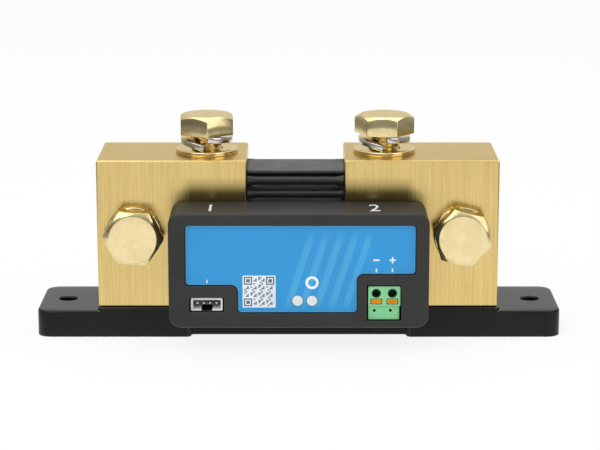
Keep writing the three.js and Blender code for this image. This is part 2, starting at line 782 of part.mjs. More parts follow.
// Green two-pole block: a proud upper part with wire holes and levers, and a lower part with test holes.
function wireTerminal(back) {
  const { x, width, bottom, top, stepZ, step, wall, leverZ, wireZ, testZ } = TERMINAL;
  const front = SHELL.front + TERMINAL.setBack;
  const left = x - width / 2;
  const upper = box([left, left + width], [front, back], [stepZ, top]);
  const lower = box([left, left + width - step], [front + step, back], [bottom, stepZ + step]);
  const leverHalf = TERMINAL.leverHeight / 2 + CLEARANCE;
  const leverRoom = about(leverZ, leverHalf);
  const chamberUp = [leverZ + leverHalf - 0.1, top - wall];
  let solid = upper.add(lower);
  for (const pole of polePlaces) {
    const leverAcross = about(pole, TERMINAL.leverWidth / 2 + CLEARANCE);
    const chamberAcross = about(pole, TERMINAL.chamberHalf);
    const testX = pole + TERMINAL.testShift;
    const wireHole = roundAlongY(TERMINAL.wireRadius, pole, wireZ, [front - 1, front + TERMINAL.wireDepth]);
    solid = solid.subtract(wireHole);
    solid = solid.subtract(box(leverAcross, [front - 1, back - wall], leverRoom));
    solid = solid.subtract(box(chamberAcross, [front + TERMINAL.chamberStart, back - wall], chamberUp));
    solid = solid.subtract(roundAlongY(TERMINAL.testRadius, testX, testZ, [front - 1, back - 3], 12));
  }
  return solid;
}

function terminalHeader(front) {
  const { x, width, bottom, top, testZ } = TERMINAL;
  const half = BLADE_HALF + CLEARANCE;
  let solid = box(about(x, width / 2), [front, BOARD_FRONT], [bottom, top]);
  for (const pole of polePlaces) {
    solid = solid.subtract(box(about(pole, half), [front - 1, BOARD_FRONT + 1], about(testZ, half)));
  }
  return solid;
}

function releaseLever() {
  const { leverWidth, leverHeight, leverLength } = TERMINAL;
  return box(about(0, leverWidth / 2), [0, leverLength], about(0, leverHeight / 2));
}

// Bent leaf that presses a wire against the top of its chamber.
function clampSpring([y0, y1], [z0, z1]) {
  const thickness = 0.35;
  const foot = 1;
  const width = 3;
  const leaf = new THREE.Shape();
  leaf.moveTo(y0, z1);
  leaf.lineTo(y1 - foot, z0);
  leaf.lineTo(y1, z0);
  leaf.lineTo(y1, z1);
  leaf.lineTo(y1 - thickness, z1);
  leaf.lineTo(y1 - thickness, z0 + thickness);
  leaf.lineTo(y1 - foot + thickness / 2, z0 + thickness);
  leaf.lineTo(y0 + thickness, z1);
  return acrossX(leaf, about(0, width / 2));
}

function addTerminal() {
  const { leverZ, leverHeight, top } = TERMINAL;
  const split = BOARD_FRONT - TERMINAL.headerLength;
  place('wire_terminal', wireTerminal(split), 'greenPlastic');
  place('terminal_header', terminalHeader(split), 'greenPlastic');
  const springY = [SHELL.front + 4, split - 1.6];
  const springZ = [leverZ + leverHeight / 2 + 0.6, top - 1.3];
  polePlaces.forEach((x, i) => {
    const lever = place(`release_lever_${i + 1}`, releaseLever(), 'orangePlastic');
    lever.position.set(x, SHELL.front + 0.05, leverZ);
    const spring = place(`clamp_spring_${i + 1}`, clampSpring(springY, springZ), 'steel');
    spring.position.x = x;
    const blade = place(`terminal_pin_${i + 1}`, pin(BLADE_HALF, [split, BOARD.back + 1]), 'steel');
    blade.position.set(x, 0, TERMINAL.testZ);
  });
}

function addBoard() {
  place('circuit_board', circuitBoard(), 'boardGreen');
  for (const [side, size] of Object.entries(blockSides)) {
    const post = place(`sense_post_${side}`, sensePost(), 'brass');
    const screw = place(`sense_screw_${side}`, senseScrew(), 'steel');
    post.position.set(senseX(size), 0, SENSE.z);
    screw.position.set(senseX(size), 0, SENSE.z);
  }
  place('data_socket', dataSocket(), 'palePlastic');
  pinPlaces.forEach((x, i) => {
    const contact = place(`data_pin_${i + 1}`, pin(PIN_HALF, [SHELL.front + 2.6, BOARD.back + 1]), 'steel');
    contact.position.set(x, 0, SOCKET.z);
  });
  for (const [name, { across, up, height, finish }] of Object.entries(CHIPS)) {
    place(name, box(across, [BOARD_FRONT - height, BOARD_FRONT], up), finish);
  }
  place('radio_shield', radioShield(), 'steel');
}

addBase();
addBlocks();
addBolts();
addBox();
addBoard();
addTerminal();

export default model;
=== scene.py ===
# Battery monitor shunt: brass blocks, resistance strips, moulded base and meter box
import json
import math

import bmesh
import bpy
from mathutils import Matrix, Vector, noise

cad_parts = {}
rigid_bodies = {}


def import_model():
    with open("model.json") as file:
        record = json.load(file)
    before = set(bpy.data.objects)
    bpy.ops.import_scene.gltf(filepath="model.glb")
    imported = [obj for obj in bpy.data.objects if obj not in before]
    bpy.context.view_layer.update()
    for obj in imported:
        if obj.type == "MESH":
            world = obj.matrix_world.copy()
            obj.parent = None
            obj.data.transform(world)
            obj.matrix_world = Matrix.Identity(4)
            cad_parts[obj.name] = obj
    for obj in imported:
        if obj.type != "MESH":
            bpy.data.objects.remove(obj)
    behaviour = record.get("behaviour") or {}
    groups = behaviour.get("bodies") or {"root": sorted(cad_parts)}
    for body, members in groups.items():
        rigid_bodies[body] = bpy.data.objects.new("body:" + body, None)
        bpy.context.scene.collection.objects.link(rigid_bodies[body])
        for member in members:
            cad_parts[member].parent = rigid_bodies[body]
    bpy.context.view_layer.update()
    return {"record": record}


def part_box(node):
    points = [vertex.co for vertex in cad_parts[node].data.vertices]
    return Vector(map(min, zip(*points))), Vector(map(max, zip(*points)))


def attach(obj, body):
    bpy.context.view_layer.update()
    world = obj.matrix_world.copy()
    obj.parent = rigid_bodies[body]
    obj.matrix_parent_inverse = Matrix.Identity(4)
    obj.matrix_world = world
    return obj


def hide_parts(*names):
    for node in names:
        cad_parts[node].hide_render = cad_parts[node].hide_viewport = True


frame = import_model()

mm = 0.001
tau = 2 * math.pi
print("frame loaded")


# small tools

def span(node):
    low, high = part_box(node)
    return Vector(low), Vector(high)


def middle(node):
    low, high = span(node)
    return (low + high) / 2


def newObject(name, data):
    piece = bpy.data.objects.new(name, data)
    bpy.context.scene.collection.objects.link(piece)
    return piece


def finishPiece(name, mesh, material, body="root", nodes=(), smoothAngle=35):
    mesh.name = name
    piece = newObject(name, mesh)
    mesh.materials.clear()
    mesh.materials.append(material)
    for face in mesh.polygons:
        face.use_smooth = True
    mesh.set_sharp_from_angle(angle=math.radians(smoothAngle))
    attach(piece, body)
    if nodes:
        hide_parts(*nodes)
    return piece


def meshFromBmesh(bm, name):
    mesh = bpy.data.meshes.new(name)
    bm.to_mesh(mesh)
    bm.free()
    return mesh


def meshFromRings(rings, closed=False, place=Matrix()):
    # rings of equal length, joined in order
    # closed joins the last ring to the first, else both ends are capped
    bm = bmesh.new()
    rows = [[bm.verts.new(place @ Vector(point)) for point in ring] for ring in rings]
    count = len(rows[0])
    pairs = list(zip(rows, rows[1:] + rows[:1])) if closed else list(zip(rows, rows[1:]))
    for low, high in pairs:
        for i in range(count):
            j = (i + 1) % count
            bm.faces.new((low[i], low[j], high[j], high[i]))
    if not closed:
        bm.faces.new(list(reversed(rows[0])))
        bm.faces.new(rows[-1])
    bmesh.ops.recalc_face_normals(bm, faces=bm.faces)
    return meshFromBmesh(bm, "rings")


def circleAt(radius, z, count=64):
    return [(radius * math.cos(tau * i / count), radius * math.sin(tau * i / count), z) for i in range(count)]


def cornerArc(centre, radius, start, turn, steps=6):
    return [(centre[0] + radius * math.cos(start + turn * i / steps),
             centre[1] + radius * math.sin(start + turn * i / steps)) for i in range(steps + 1)]


def roundedBox2d(low, high, radius, steps=6):
    quarter = math.pi / 2
    centres = ((low[0] + radius, low[1] + radius), (high[0] - radius, low[1] + radius),
               (high[0] - radius, high[1] - radius), (low[0] + radius, high[1] - radius))
    points = []
    for i, centre in enumerate(centres):
        points += cornerArc(centre, radius, math.pi + i * quarter, quarter, steps)
    return points


def circle2d(centre, radius, count=40):
    return [(centre[0] + radius * math.cos(tau * i / count),
             centre[1] + radius * math.sin(tau * i / count)) for i in range(count)]


def meshOfObject(piece):
    depsgraph = bpy.context.evaluated_depsgraph_get()
    mesh = bpy.data.meshes.new_from_object(piece.evaluated_get(depsgraph), depsgraph=depsgraph)
    data = piece.data
    bpy.data.objects.remove(piece)
    if isinstance(data, bpy.types.Curve):
        bpy.data.curves.remove(data)
    else:
        bpy.data.meshes.remove(data)
    return mesh


def plateMesh(outlines, low, high, edge=0.0, place=Matrix(), edgeSteps=3):
    # outlines in X and Y, the first outside and the others holes, between two heights, with rounded rims
    curve = bpy.data.curves.new("plate", "CURVE")
    curve.dimensions = "2D"
    curve.fill_mode = "BOTH"
    curve.extrude = (high - low) / 2 - edge
    curve.bevel_depth = edge
    curve.bevel_resolution = edgeSteps
    curve.offset = -edge
    for outline in outlines:
        spline = curve.splines.new("POLY")
        spline.points.add(len(outline) - 1)
        for point, (x, y) in zip(spline.points, outline):
            point.co = (x, y, 0, 1)
        spline.use_cyclic_u = True
    mesh = meshOfObject(newObject("plate", curve))
    mesh.transform(place @ Matrix.Translation((0, 0, (low + high) / 2)))
    bm = bmesh.new()
    bm.from_mesh(mesh)
    bmesh.ops.remove_doubles(bm, verts=bm.verts, dist=0.004 * mm)
    bmesh.ops.recalc_face_normals(bm, faces=bm.faces)
    bm.to_mesh(mesh)
    bm.free()
    return mesh


def boxMesh(low, high):
    bm = bmesh.new()
    bmesh.ops.create_cube(bm, size=1)
    size = Vector(high) - Vector(low)
    bmesh.ops.scale(bm, vec=size, verts=bm.verts)
    bmesh.ops.translate(bm, vec=(Vector(high) + Vector(low)) / 2, verts=bm.verts)
    return meshFromBmesh(bm, "box")


def booleanMesh(mesh, others, operation="DIFFERENCE"):
    # cuts or joins the other meshes
    target = newObject("target", mesh)
    tools = []
    for other in others:
        tool = newObject("tool", other)
        tools.append(tool)
        step = target.modifiers.new("cut", "BOOLEAN")
        step.operation = operation
        step.solver = "EXACT"
        step.object = tool
    result = meshOfObject(target)
    for tool in tools:
        data = tool.data
        bpy.data.objects.remove(tool)
        bpy.data.meshes.remove(data)
    return result


def joinMeshes(meshes):
    bm = bmesh.new()
    for mesh in meshes:
        bm.from_mesh(mesh)
        bpy.data.meshes.remove(mesh)
    return meshFromBmesh(bm, "joined")


# X and Y of an outline become X and Z, and its height runs towards -Y
standing = Matrix.Rotation(math.pi / 2, 4, "X")


# shared shader groups

def makeGroup(name, **inputs):
    # a new group with number inputs, and the sockets that give them
    group = bpy.data.node_groups.new(name, "ShaderNodeTree")
    for label, value in inputs.items():
        socket = group.interface.new_socket(label.replace("_", " "), in_out="INPUT",
                                            socket_type="NodeSocketFloat")
        socket.default_value = value
    return group, group.nodes.new("NodeGroupInput").outputs


def finishGroup(group, **outputs):
    for label in outputs:
        group.interface.new_socket(label, in_out="OUTPUT", socket_type="NodeSocketFloat")
    sink = group.nodes.new("NodeGroupOutput")
    for label, value in outputs.items():
        group.links.new(value, sink.inputs[label])
    return group


def addNode(tree, kind, inputs=(), **settings):
    node = tree.nodes.new(f"ShaderNode{kind}")
    for key, value in settings.items():
        setattr(node, key, value)
    for key, value in dict(inputs).items():
        if isinstance(value, bpy.types.NodeSocket):
            tree.links.new(value, node.inputs[key])
        else:
            node.inputs[key].default_value = value
    return node


def mathNode(tree, operation, first, second=0.0, clamp=False):
    node = addNode(tree, "Math", {0: first, 1: second}, operation=operation, use_clamp=clamp)
    return node.outputs[0]


def times(tree, first, second, clamp=False):
    return mathNode(tree, "MULTIPLY", first, second, clamp)


def rampNode(tree, factor, low, high, start=0.0, end=1.0):
    inputs = {"Value": factor, "From Min": low, "From Max": high, "To Min": start, "To Max": end}
    return addNode(tree, "MapRange", inputs, clamp=True).outputs["Result"]


def mixColor(tree, factor, first, second, blend="MIX"):
    node = tree.nodes.new("ShaderNodeMix")
    node.data_type = "RGBA"
    node.blend_type = blend
    for socket, value in ((node.inputs[0], factor), (node.inputs[6], first), (node.inputs[7], second)):
        if isinstance(value, bpy.types.NodeSocket):
            tree.links.new(value, socket)
        else:
            socket.default_value = value
    return node.outputs[2]


def shadeColor(tree, color, amount):
    grey = addNode(tree, "CombineColor", {0: amount, 1: amount, 2: amount}).outputs[0]
    return mixColor(tree, 1.0, color, grey, "MULTIPLY")


def mixNumber(tree, factor, first, second):
    return addNode(tree, "Mix", {0: factor, 2: first, 3: second}, data_type="FLOAT").outputs[0]


def noiseNode(tree, place, scale, detail, roughness=0.5):
    inputs = {"Vector": place, "Scale": scale, "Detail": detail, "Roughness": roughness}
    return addNode(tree, "TexNoise", inputs).outputs["Fac"]


def brushedGroup():
    # lines left by a brush: upright on walls, along X on level faces
    group, given = makeGroup("Brushed lines", Lines_Per_Metre=6000.0, Stretch=90.0)
    coords = addNode(group, "TexCoord").outputs
    normal = addNode(group, "SeparateXYZ", {0: coords["Normal"]}).outputs
    level = rampNode(group, mathNode(group, "ABSOLUTE", normal["Z"]), 0.6, 0.8)
    place = addNode(group, "SeparateXYZ", {0: coords["Object"]}).outputs
    across = given["Lines Per Metre"]
    along = mathNode(group, "DIVIDE", across, given["Stretch"])
    fineX, fineY = times(group, place["X"], across), times(group, place["Y"], across)
    longZ, longX = times(group, place["Z"], along), times(group, place["X"], along)
    wall = addNode(group, "CombineXYZ", {"X": fineX, "Y": fineY, "Z": longZ}).outputs[0]
    top = addNode(group, "CombineXYZ", {"X": longX, "Y": fineY, "Z": 0.0}).outputs[0]
    chosen = addNode(group, "Mix", {0: level, 4: wall, 5: top}, data_type="VECTOR").outputs[1]
    slow, sharp = [addNode(group, "VectorMath", {0: chosen, 1: stretch}, operation="MULTIPLY").outputs[0]
                   for stretch in ((0.22, 0.22, 0.3), (0.9, 0.9, 2.6))]
    scratches = rampNode(group, noiseNode(group, sharp, 1.0, 1.0), 0.64, 0.72)
    return finishGroup(group, Lines=noiseNode(group, chosen, 1.0, 4.0, 0.7),
                       Broad=noiseNode(group, slow, 1.0, 3.0), Scratches=scratches)


def tarnishGroup():
    # soft clouds and small dark specks of oxide and finger marks
    group, given = makeGroup("Tarnish", Cloud_Size=0.02, Speck_Size=0.0012)
    place = addNode(group, "TexCoord").outputs["Object"]
    clouds = noiseNode(group, place, mathNode(group, "DIVIDE", 1.0, given["Cloud Size"]), 5.0, 0.6)
    specks = noiseNode(group, place, mathNode(group, "DIVIDE", 1.0, given["Speck Size"]), 2.0)
    return finishGroup(group, Clouds=rampNode(group, clouds, 0.35, 0.65),
                       Specks=rampNode(group, specks, 0.62, 0.75))


def edgeGroup():
    # 1 along sharp edges, where handling wears and brightens a surface; the brightening also serves as a
    # painted highlight along edges
    group, given = makeGroup("Edge wear and highlight", Width=0.0004, Breakup=0.5)
    bevel = addNode(group, "Bevel", {"Radius": given["Width"]}, samples=4).outputs["Normal"]
    geometry = addNode(group, "NewGeometry").outputs["Normal"]
    turn = addNode(group, "VectorMath", {0: bevel, 1: geometry}, operation="DOT_PRODUCT")
    edge = rampNode(group, turn.outputs["Value"], 0.98, 0.8)
    patches = noiseNode(group, addNode(group, "TexCoord").outputs["Object"], 900.0, 3.0)
    kept = mixNumber(group, given["Breakup"], 1.0, rampNode(group, patches, 0.4, 0.6))
    return finishGroup(group, Worn=times(group, edge, kept))


def mouldedGroup():
    # the fine skin of a moulded plastic: grain for the bump, and slow patches of sheen
    group, given = makeGroup("Moulded skin", Grain_Size=0.00035)
    coords = addNode(group, "TexCoord").outputs
    scale = mathNode(group, "DIVIDE", 1.0, given["Grain Size"])
    normal = addNode(group, "SeparateXYZ", {0: coords["Normal"]}).outputs
    return finishGroup(group, Grain=noiseNode(group, coords["Object"], scale, 2.0, 0.55),
                       Patches=noiseNode(group, coords["Object"], 70.0, 4.0),
                       Level=rampNode(group, normal["Z"], 0.75, 0.97))


def creaseGroup():
    # how open a spot is: 1 in the open, towards 0 in holes and slots; it sets where shade is painted into
    # holes and slots
    group, given = makeGroup("Creases", Reach=0.003)
    near = addNode(group, "AmbientOcclusion", {"Distance": given["Reach"]}, samples=6)
    return finishGroup(group, Open=rampNode(group, near.outputs["AO"], 0.25, 0.85))


brushedLines = brushedGroup()
tarnish = tarnishGroup()
edgeWearAndHighlight = edgeGroup()
mouldedSkin = mouldedGroup()
creases = creaseGroup()
print("shader groups made")


# materials

def newMaterial(name, **constants):
    material = bpy.data.materials.new(name)
    material.use_nodes = True
    tree = material.node_tree
    shader = tree.nodes["Principled BSDF"]
    for key, value in constants.items():
        shader.inputs[key.replace("_", " ")].default_value = value
    return material, tree, shader


def placeGroup(tree, group, **inputs):
    node = tree.nodes.new("ShaderNodeGroup")
    node.node_tree = group
    for key, value in inputs.items():
        node.inputs[key.replace("_", " ")].default_value = value
    return node.outputs


def setSurface(tree, shader, color, rough, height, strength, distance):
    tree.links.new(color, shader.inputs["Base Color"])
    tree.links.new(rough, shader.inputs["Roughness"])
    bump = addNode(tree, "Bump", {"Height": height, "Strength": strength, "Distance": distance})
    tree.links.new(bump.outputs["Normal"], shader.inputs["Normal"])


def brushedBrass():
    # blocks: ground with fine upright lines, a few deeper scratches, a touch of oxide, painted shade above
    # the meter box, and bright edges that are partly wear and partly painted highlight
    look = {"dark": (0.62, 0.450, 0.155, 1), "light": (0.93, 0.71, 0.300, 1), "wornAndLit": (1.0, 0.86, 0.52, 1),
            "oxide": (0.42, 0.30, 0.09, 1), "paintedShade": (0.20, 0.145, 0.045, 1), "lines": 5200.0,
            "roughLow": 0.17, "roughHigh": 0.30, "shadeHeight": 8 * mm, "shadeInset": 3.5 * mm}
    material, tree, shader = newMaterial("brushedBrass", Metallic=1.0, Anisotropic=0.3)
    shader.inputs["Specular Tint"].default_value = (1.0, 0.92, 0.74, 1)
    lines = placeGroup(tree, brushedLines, Lines_Per_Metre=look["lines"], Stretch=140.0)
    marks = placeGroup(tree, tarnish, Cloud_Size=0.022, Speck_Size=0.0011)
    wornAndLit = placeGroup(tree, edgeWearAndHighlight, Width=0.0004, Breakup=0.5)
    streaks = mathNode(tree, "ADD", times(tree, lines["Lines"], 0.8),
                       times(tree, lines["Broad"], 0.3))
    color = mixColor(tree, rampNode(tree, streaks, 0.38, 0.72), look["dark"], look["light"])
    color = mixColor(tree, times(tree, lines["Scratches"], 0.35), color, look["oxide"])
    color = mixColor(tree, times(tree, marks["Clouds"], 0.12), color, look["oxide"])
    color = mixColor(tree, times(tree, marks["Specks"], 0.10), color, look["oxide"])
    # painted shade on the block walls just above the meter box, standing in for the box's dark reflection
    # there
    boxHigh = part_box("housing_shell")[1]
    coords = addNode(tree, "TexCoord")
    place = addNode(tree, "SeparateXYZ", {0: coords.outputs["Object"]})
    upward = rampNode(tree, place.outputs["Z"], boxHigh[2] + look["shadeHeight"], boxHigh[2] + 2.5 * mm)
    edge = boxHigh[0] - look["shadeInset"]
    sideways = rampNode(tree, mathNode(tree, "ABSOLUTE", place.outputs["X"]), edge, edge - 3 * mm)
    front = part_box("terminal_block_left")[0][1]
    ahead = rampNode(tree, place.outputs["Y"], front + 0.6 * mm, front + 0.2 * mm)
    paintedShade = times(tree, times(tree, upward, sideways), ahead)
    color = mixColor(tree, times(tree, paintedShade, 0.85), color, look["paintedShade"])
    # edges brightened: partly wear, partly a painted highlight
    color = mixColor(tree, times(tree, wornAndLit["Worn"], 0.75), color, look["wornAndLit"])
    rough = rampNode(tree, streaks, 0.36, 0.74, look["roughLow"], look["roughHigh"])
    setSurface(tree, shader, color, rough, lines["Lines"], 0.30, 0.00003)
    return material


def turnedBrass():
    # bolts and washers: bright faces; the flats and chamfer painted darker and more mottled, as shade and
    # dark reflections; thin bright edges that are partly wear and partly painted highlight
    look = {"dark": (0.68, 0.53, 0.24, 1), "light": (0.92, 0.77, 0.43, 1), "side": (0.90, 0.75, 0.41, 1),
            "flankShade": (0.50, 0.39, 0.16, 1), "wornAndLit": (1.0, 0.92, 0.66, 1),
            "roughLow": 0.14, "roughHigh": 0.26}
    material, tree, shader = newMaterial("turnedBrass", Metallic=1.0)
    shader.inputs["Specular Tint"].default_value = (1.0, 0.93, 0.75, 1)
    marks = placeGroup(tree, tarnish, Cloud_Size=0.005, Speck_Size=0.0004)
    wornAndLit = placeGroup(tree, edgeWearAndHighlight, Width=0.00035, Breakup=0.3)
    spots = times(tree, marks["Specks"], 0.5)
    mottle = mathNode(tree, "ADD", times(tree, marks["Clouds"], 0.35), spots)
    side = addNode(tree, "Attribute", attribute_name="side")
    face = mixColor(tree, mottle, look["light"], look["dark"])
    # flats and chamfer: painted darker and more mottled, standing in for shade and dark reflections
    shadedFlank = mixColor(tree, times(tree, mottle, 1.3, True), look["side"], look["flankShade"])
    color = mixColor(tree, side.outputs["Fac"], face, shadedFlank)
    # edges brightened: partly wear, partly a painted highlight
    color = mixColor(tree, wornAndLit["Worn"], color, look["wornAndLit"])
    rough = rampNode(tree, mottle, 0.0, 0.8, look["roughLow"], look["roughHigh"])
    setSurface(tree, shader, color, rough, marks["Clouds"], 0.08, 0.00006)
    return material


def platedSteel(name, light, dark, rough):
    material, tree, shader = newMaterial(name, Metallic=1.0)
    marks = placeGroup(tree, tarnish, Cloud_Size=0.003, Speck_Size=0.0006)
    wornAndLit = placeGroup(tree, edgeWearAndHighlight, Width=0.0003, Breakup=0.6)
    color = mixColor(tree, times(tree, marks["Clouds"], 0.6), light, dark)
    # edges brightened: partly wear, partly a painted highlight
    color = mixColor(tree, wornAndLit["Worn"], color, (1.0, 0.97, 0.90, 1))
    varied = rampNode(tree, marks["Clouds"], 0.0, 1.0, rough, rough + 0.12)
    setSurface(tree, shader, color, varied, marks["Clouds"], 0.12, 0.00005)
    return material


def mouldedPlastic(name, base, wornAndLit, rough, topRough=None, grain=0.00035, bump=0.10, wearAndLight=0.35, shine=0.5,
                   paintedCreaseShade=0.0):
    # the last argument: how far painted shade darkens holes and slots
    material, tree, shader = newMaterial(name, Specular_IOR_Level=shine)
    skin = placeGroup(tree, mouldedSkin, Grain_Size=grain)
    edges = placeGroup(tree, edgeWearAndHighlight, Width=0.0005, Breakup=0.6)
    patchy = rampNode(tree, skin["Patches"], 0.3, 0.7, 0.86, 1.12)
    # sharp edges brightened: partly wear, partly a painted highlight
    color = mixColor(tree, times(tree, edges["Worn"], wearAndLight), shadeColor(tree, base, patchy), wornAndLit)
    if paintedCreaseShade:
        # painted shade: holes and slots darkened towards black by the occlusion measure
        openness = placeGroup(tree, creases, Reach=0.0035)["Open"]
        paintedShade = times(tree, mathNode(tree, "SUBTRACT", 1.0, openness), paintedCreaseShade)
        color = mixColor(tree, paintedShade, color, (0.003, 0.003, 0.003, 1))
    roughness = rampNode(tree, skin["Patches"], 0.3, 0.7, rough - 0.05, rough + 0.06)
    if topRough is not None:
        roughness = mixNumber(tree, skin["Level"], roughness, topRough)
    setSurface(tree, shader, color, roughness, skin["Grain"], bump, 0.00006)
    return material


def coatedStrip():
    # thick black coating: satin along the spans, with a soft sheen and slow waves
    look = {"dark": (0.010, 0.010, 0.010, 1), "light": (0.019, 0.019, 0.018, 1), "roughLow": 0.30,
            "roughHigh": 0.42}
    material, tree, shader = newMaterial("coatedStrip", Specular_IOR_Level=0.42)
    skin = placeGroup(tree, mouldedSkin, Grain_Size=0.0009)
    marks = placeGroup(tree, tarnish, Cloud_Size=0.009, Speck_Size=0.0006)
    color = mixColor(tree, marks["Clouds"], look["dark"], look["light"])
    rough = rampNode(tree, marks["Clouds"], 0.0, 1.0, look["roughLow"], look["roughHigh"])
    setSurface(tree, shader, color, rough, skin["Grain"], 0.10, 0.00006)
    return material


def printedSheet():
    # blue front sheet with slanting bands and a faint film texture
    look = {"blue": (0.012, 0.285, 0.640, 1), "band": (0.055, 0.375, 0.690, 1), "bandPitch": 4.6 * mm,
            "lean": -0.32, "bandsHalf": 11.5 * mm, "softness": 0.3 * mm, "bandStrength": 0.75}
    low, high = span("front_label")
    material, tree, shader = newMaterial("printedSheet", Coat_Weight=0.12, Coat_Roughness=0.25)
    coords = addNode(tree, "TexCoord")
    place = addNode(tree, "SeparateXYZ", {0: coords.outputs["Object"]})
    slant = mathNode(tree, "ADD", place.outputs["X"],
                     times(tree, place.outputs["Z"], look["lean"]))
    wave = mathNode(tree, "SINE", times(tree, slant, tau / look["bandPitch"]))
    band = rampNode(tree, wave, -0.05, 0.15)
    inner = look["bandsHalf"] - look["softness"]
    sideLeft = rampNode(tree, slant, -look["bandsHalf"], -inner)
    sideRight = rampNode(tree, slant, look["bandsHalf"], inner)
    foot = rampNode(tree, place.outputs["Z"], low.z + 0.6 * mm, low.z + 4 * mm)
    head = rampNode(tree, place.outputs["Z"], high.z - 1.2 * mm, high.z - 6 * mm)
    field = times(tree, times(tree, sideLeft, sideRight),
                     times(tree, foot, head))
    strength = times(tree, times(tree, band, field), look["bandStrength"])
    color = mixColor(tree, strength, look["blue"], look["band"])
    skin = placeGroup(tree, mouldedSkin, Grain_Size=0.0003)
    tint = rampNode(tree, skin["Patches"], 0.3, 0.7, 0.97, 1.03)
    varied = shadeColor(tree, color, tint)
    rough = rampNode(tree, skin["Patches"], 0.3, 0.7, 0.38, 0.48)
    setSurface(tree, shader, varied, rough, skin["Grain"], 0.05, 0.00003)
    return material


brass = brushedBrass()
boltBrass = turnedBrass()
springSteel = platedSteel("platedSteel", (0.84, 0.83, 0.81, 1), (0.50, 0.48, 0.43, 1), 0.07)
screwSteel = platedSteel("screwSteel", (0.62, 0.63, 0.64, 1), (0.42, 0.43, 0.44, 1), 0.28)
# the strong edge brightening on the base is mostly a painted highlight line, partly wear
basePlastic = mouldedPlastic("basePlastic", (0.006, 0.006, 0.0055, 1), (0.55, 0.55, 0.53, 1), 0.34, 0.24,
                             shine=0.24, wearAndLight=0.9)
boxPlastic = mouldedPlastic("boxPlastic", (0.031, 0.0315, 0.0295, 1), (0.17, 0.165, 0.155, 1), 0.46, 0.42,
                            shine=0.22)
stripCoating = coatedStrip()
labelSheet = printedSheet()
greenPlastic = mouldedPlastic("greenPlastic", (0.215, 0.60, 0.28, 1), (0.50, 0.88, 0.62, 1), 0.40, wearAndLight=0.6,
                              shine=0.25, paintedCreaseShade=0.85)
orangePlastic = mouldedPlastic("orangePlastic", (0.68, 0.25, 0.004, 1), (1.0, 0.50, 0.05, 1), 0.36,
                              shine=0.15)
palePlastic = mouldedPlastic("palePlastic", (0.72, 0.72, 0.69, 1), (0.90, 0.90, 0.86, 1), 0.36, wearAndLight=0.5)
whiteInk = mouldedPlastic("whiteInk", (0.74, 0.80, 0.86, 1), (0.90, 0.90, 0.90, 1), 0.45, wearAndLight=0.1)
greyInk = mouldedPlastic("greyInk", (0.10, 0.13, 0.16, 1), (0.2, 0.2, 0.2, 1), 0.5, wearAndLight=0.1)
rimInk = mouldedPlastic("rimInk", (0.06, 0.36, 0.70, 1), (0.3, 0.6, 0.9, 1), 0.42, wearAndLight=0.1)
milkyPlastic = mouldedPlastic("milkyPlastic", (0.70, 0.74, 0.76, 1), (0.95, 0.95, 0.93, 1), 0.24, wearAndLight=0.2)
boardResist = mouldedPlastic("boardResist", (0.015, 0.13, 0.055, 1), (0.30, 0.26, 0.12, 1), 0.30,
                            grain=0.0012)
chipPlastic = mouldedPlastic("chipPlastic", (0.014, 0.014, 0.016, 1), (0.06, 0.06, 0.06, 1), 0.5)
print("materials made")

slotMaterials = {
    "brass": brass, "zinc_plate": springSteel, "coated_strip": stripCoating, "black_plastic": basePlastic,
    "charcoal_plastic": boxPlastic, "label": labelSheet, "green_plastic": greenPlastic,
    "orange_plastic": orangePlastic, "pale_plastic": palePlastic, "clear_plastic": milkyPlastic,
    "board": boardResist, "chip": chipPlastic, "steel": screwSteel,
}
for part in frame["record"]["subparts"]:
    node = bpy.data.objects[part["node"]]
    for place in node.material_slots:
        place.material = slotMaterials[part["material_slot"]]


# bolts

boltShape = {"acrossFlats": 17 * mm, "headHeight": 6.35 * mm, "faceRadius": 7.75 * mm,
             "cornerRound": 0.35 * mm, "majorRadius": 4.95 * mm, "minorRadius": 4.12 * mm, "pitch": 1.5 * mm,
             "stepsPerPitch": 8, "pointLength": 1.2 * mm, "faceDot": 0.98, "crestGain": 1.25,
             "crestCut": 0.12, "runOut": 1.5 * mm, "shankInset": 0.35 * mm}


def hexPoints():
    # outline of the head with softened corners: 6 sides of 16 points, with a corner towards -Y
    corner = boltShape["acrossFlats"] / math.sqrt(3)
    points = []
    for side in range(6):
        start = tau * side / 6 - math.pi / 2
        centre = corner - boltShape["cornerRound"] * 2 / math.sqrt(3)
        for step in range(-3, 4):
            turn = start + step * math.pi / 18
            points.append((centre * math.cos(start) + boltShape["cornerRound"] * math.cos(turn),
                           centre * math.sin(start) + boltShape["cornerRound"] * math.sin(turn)))
        end = start + tau / 6
        first = points[-1]
        last = (centre * math.cos(end) + boltShape["cornerRound"] * math.cos(end - math.pi / 6),
                centre * math.sin(end) + boltShape["cornerRound"] * math.sin(end - math.pi / 6))
        for step in range(1, 10):
            share = step / 10
            points.append((first[0] + (last[0] - first[0]) * share, first[1] + (last[1] - first[1]) * share))
    return points


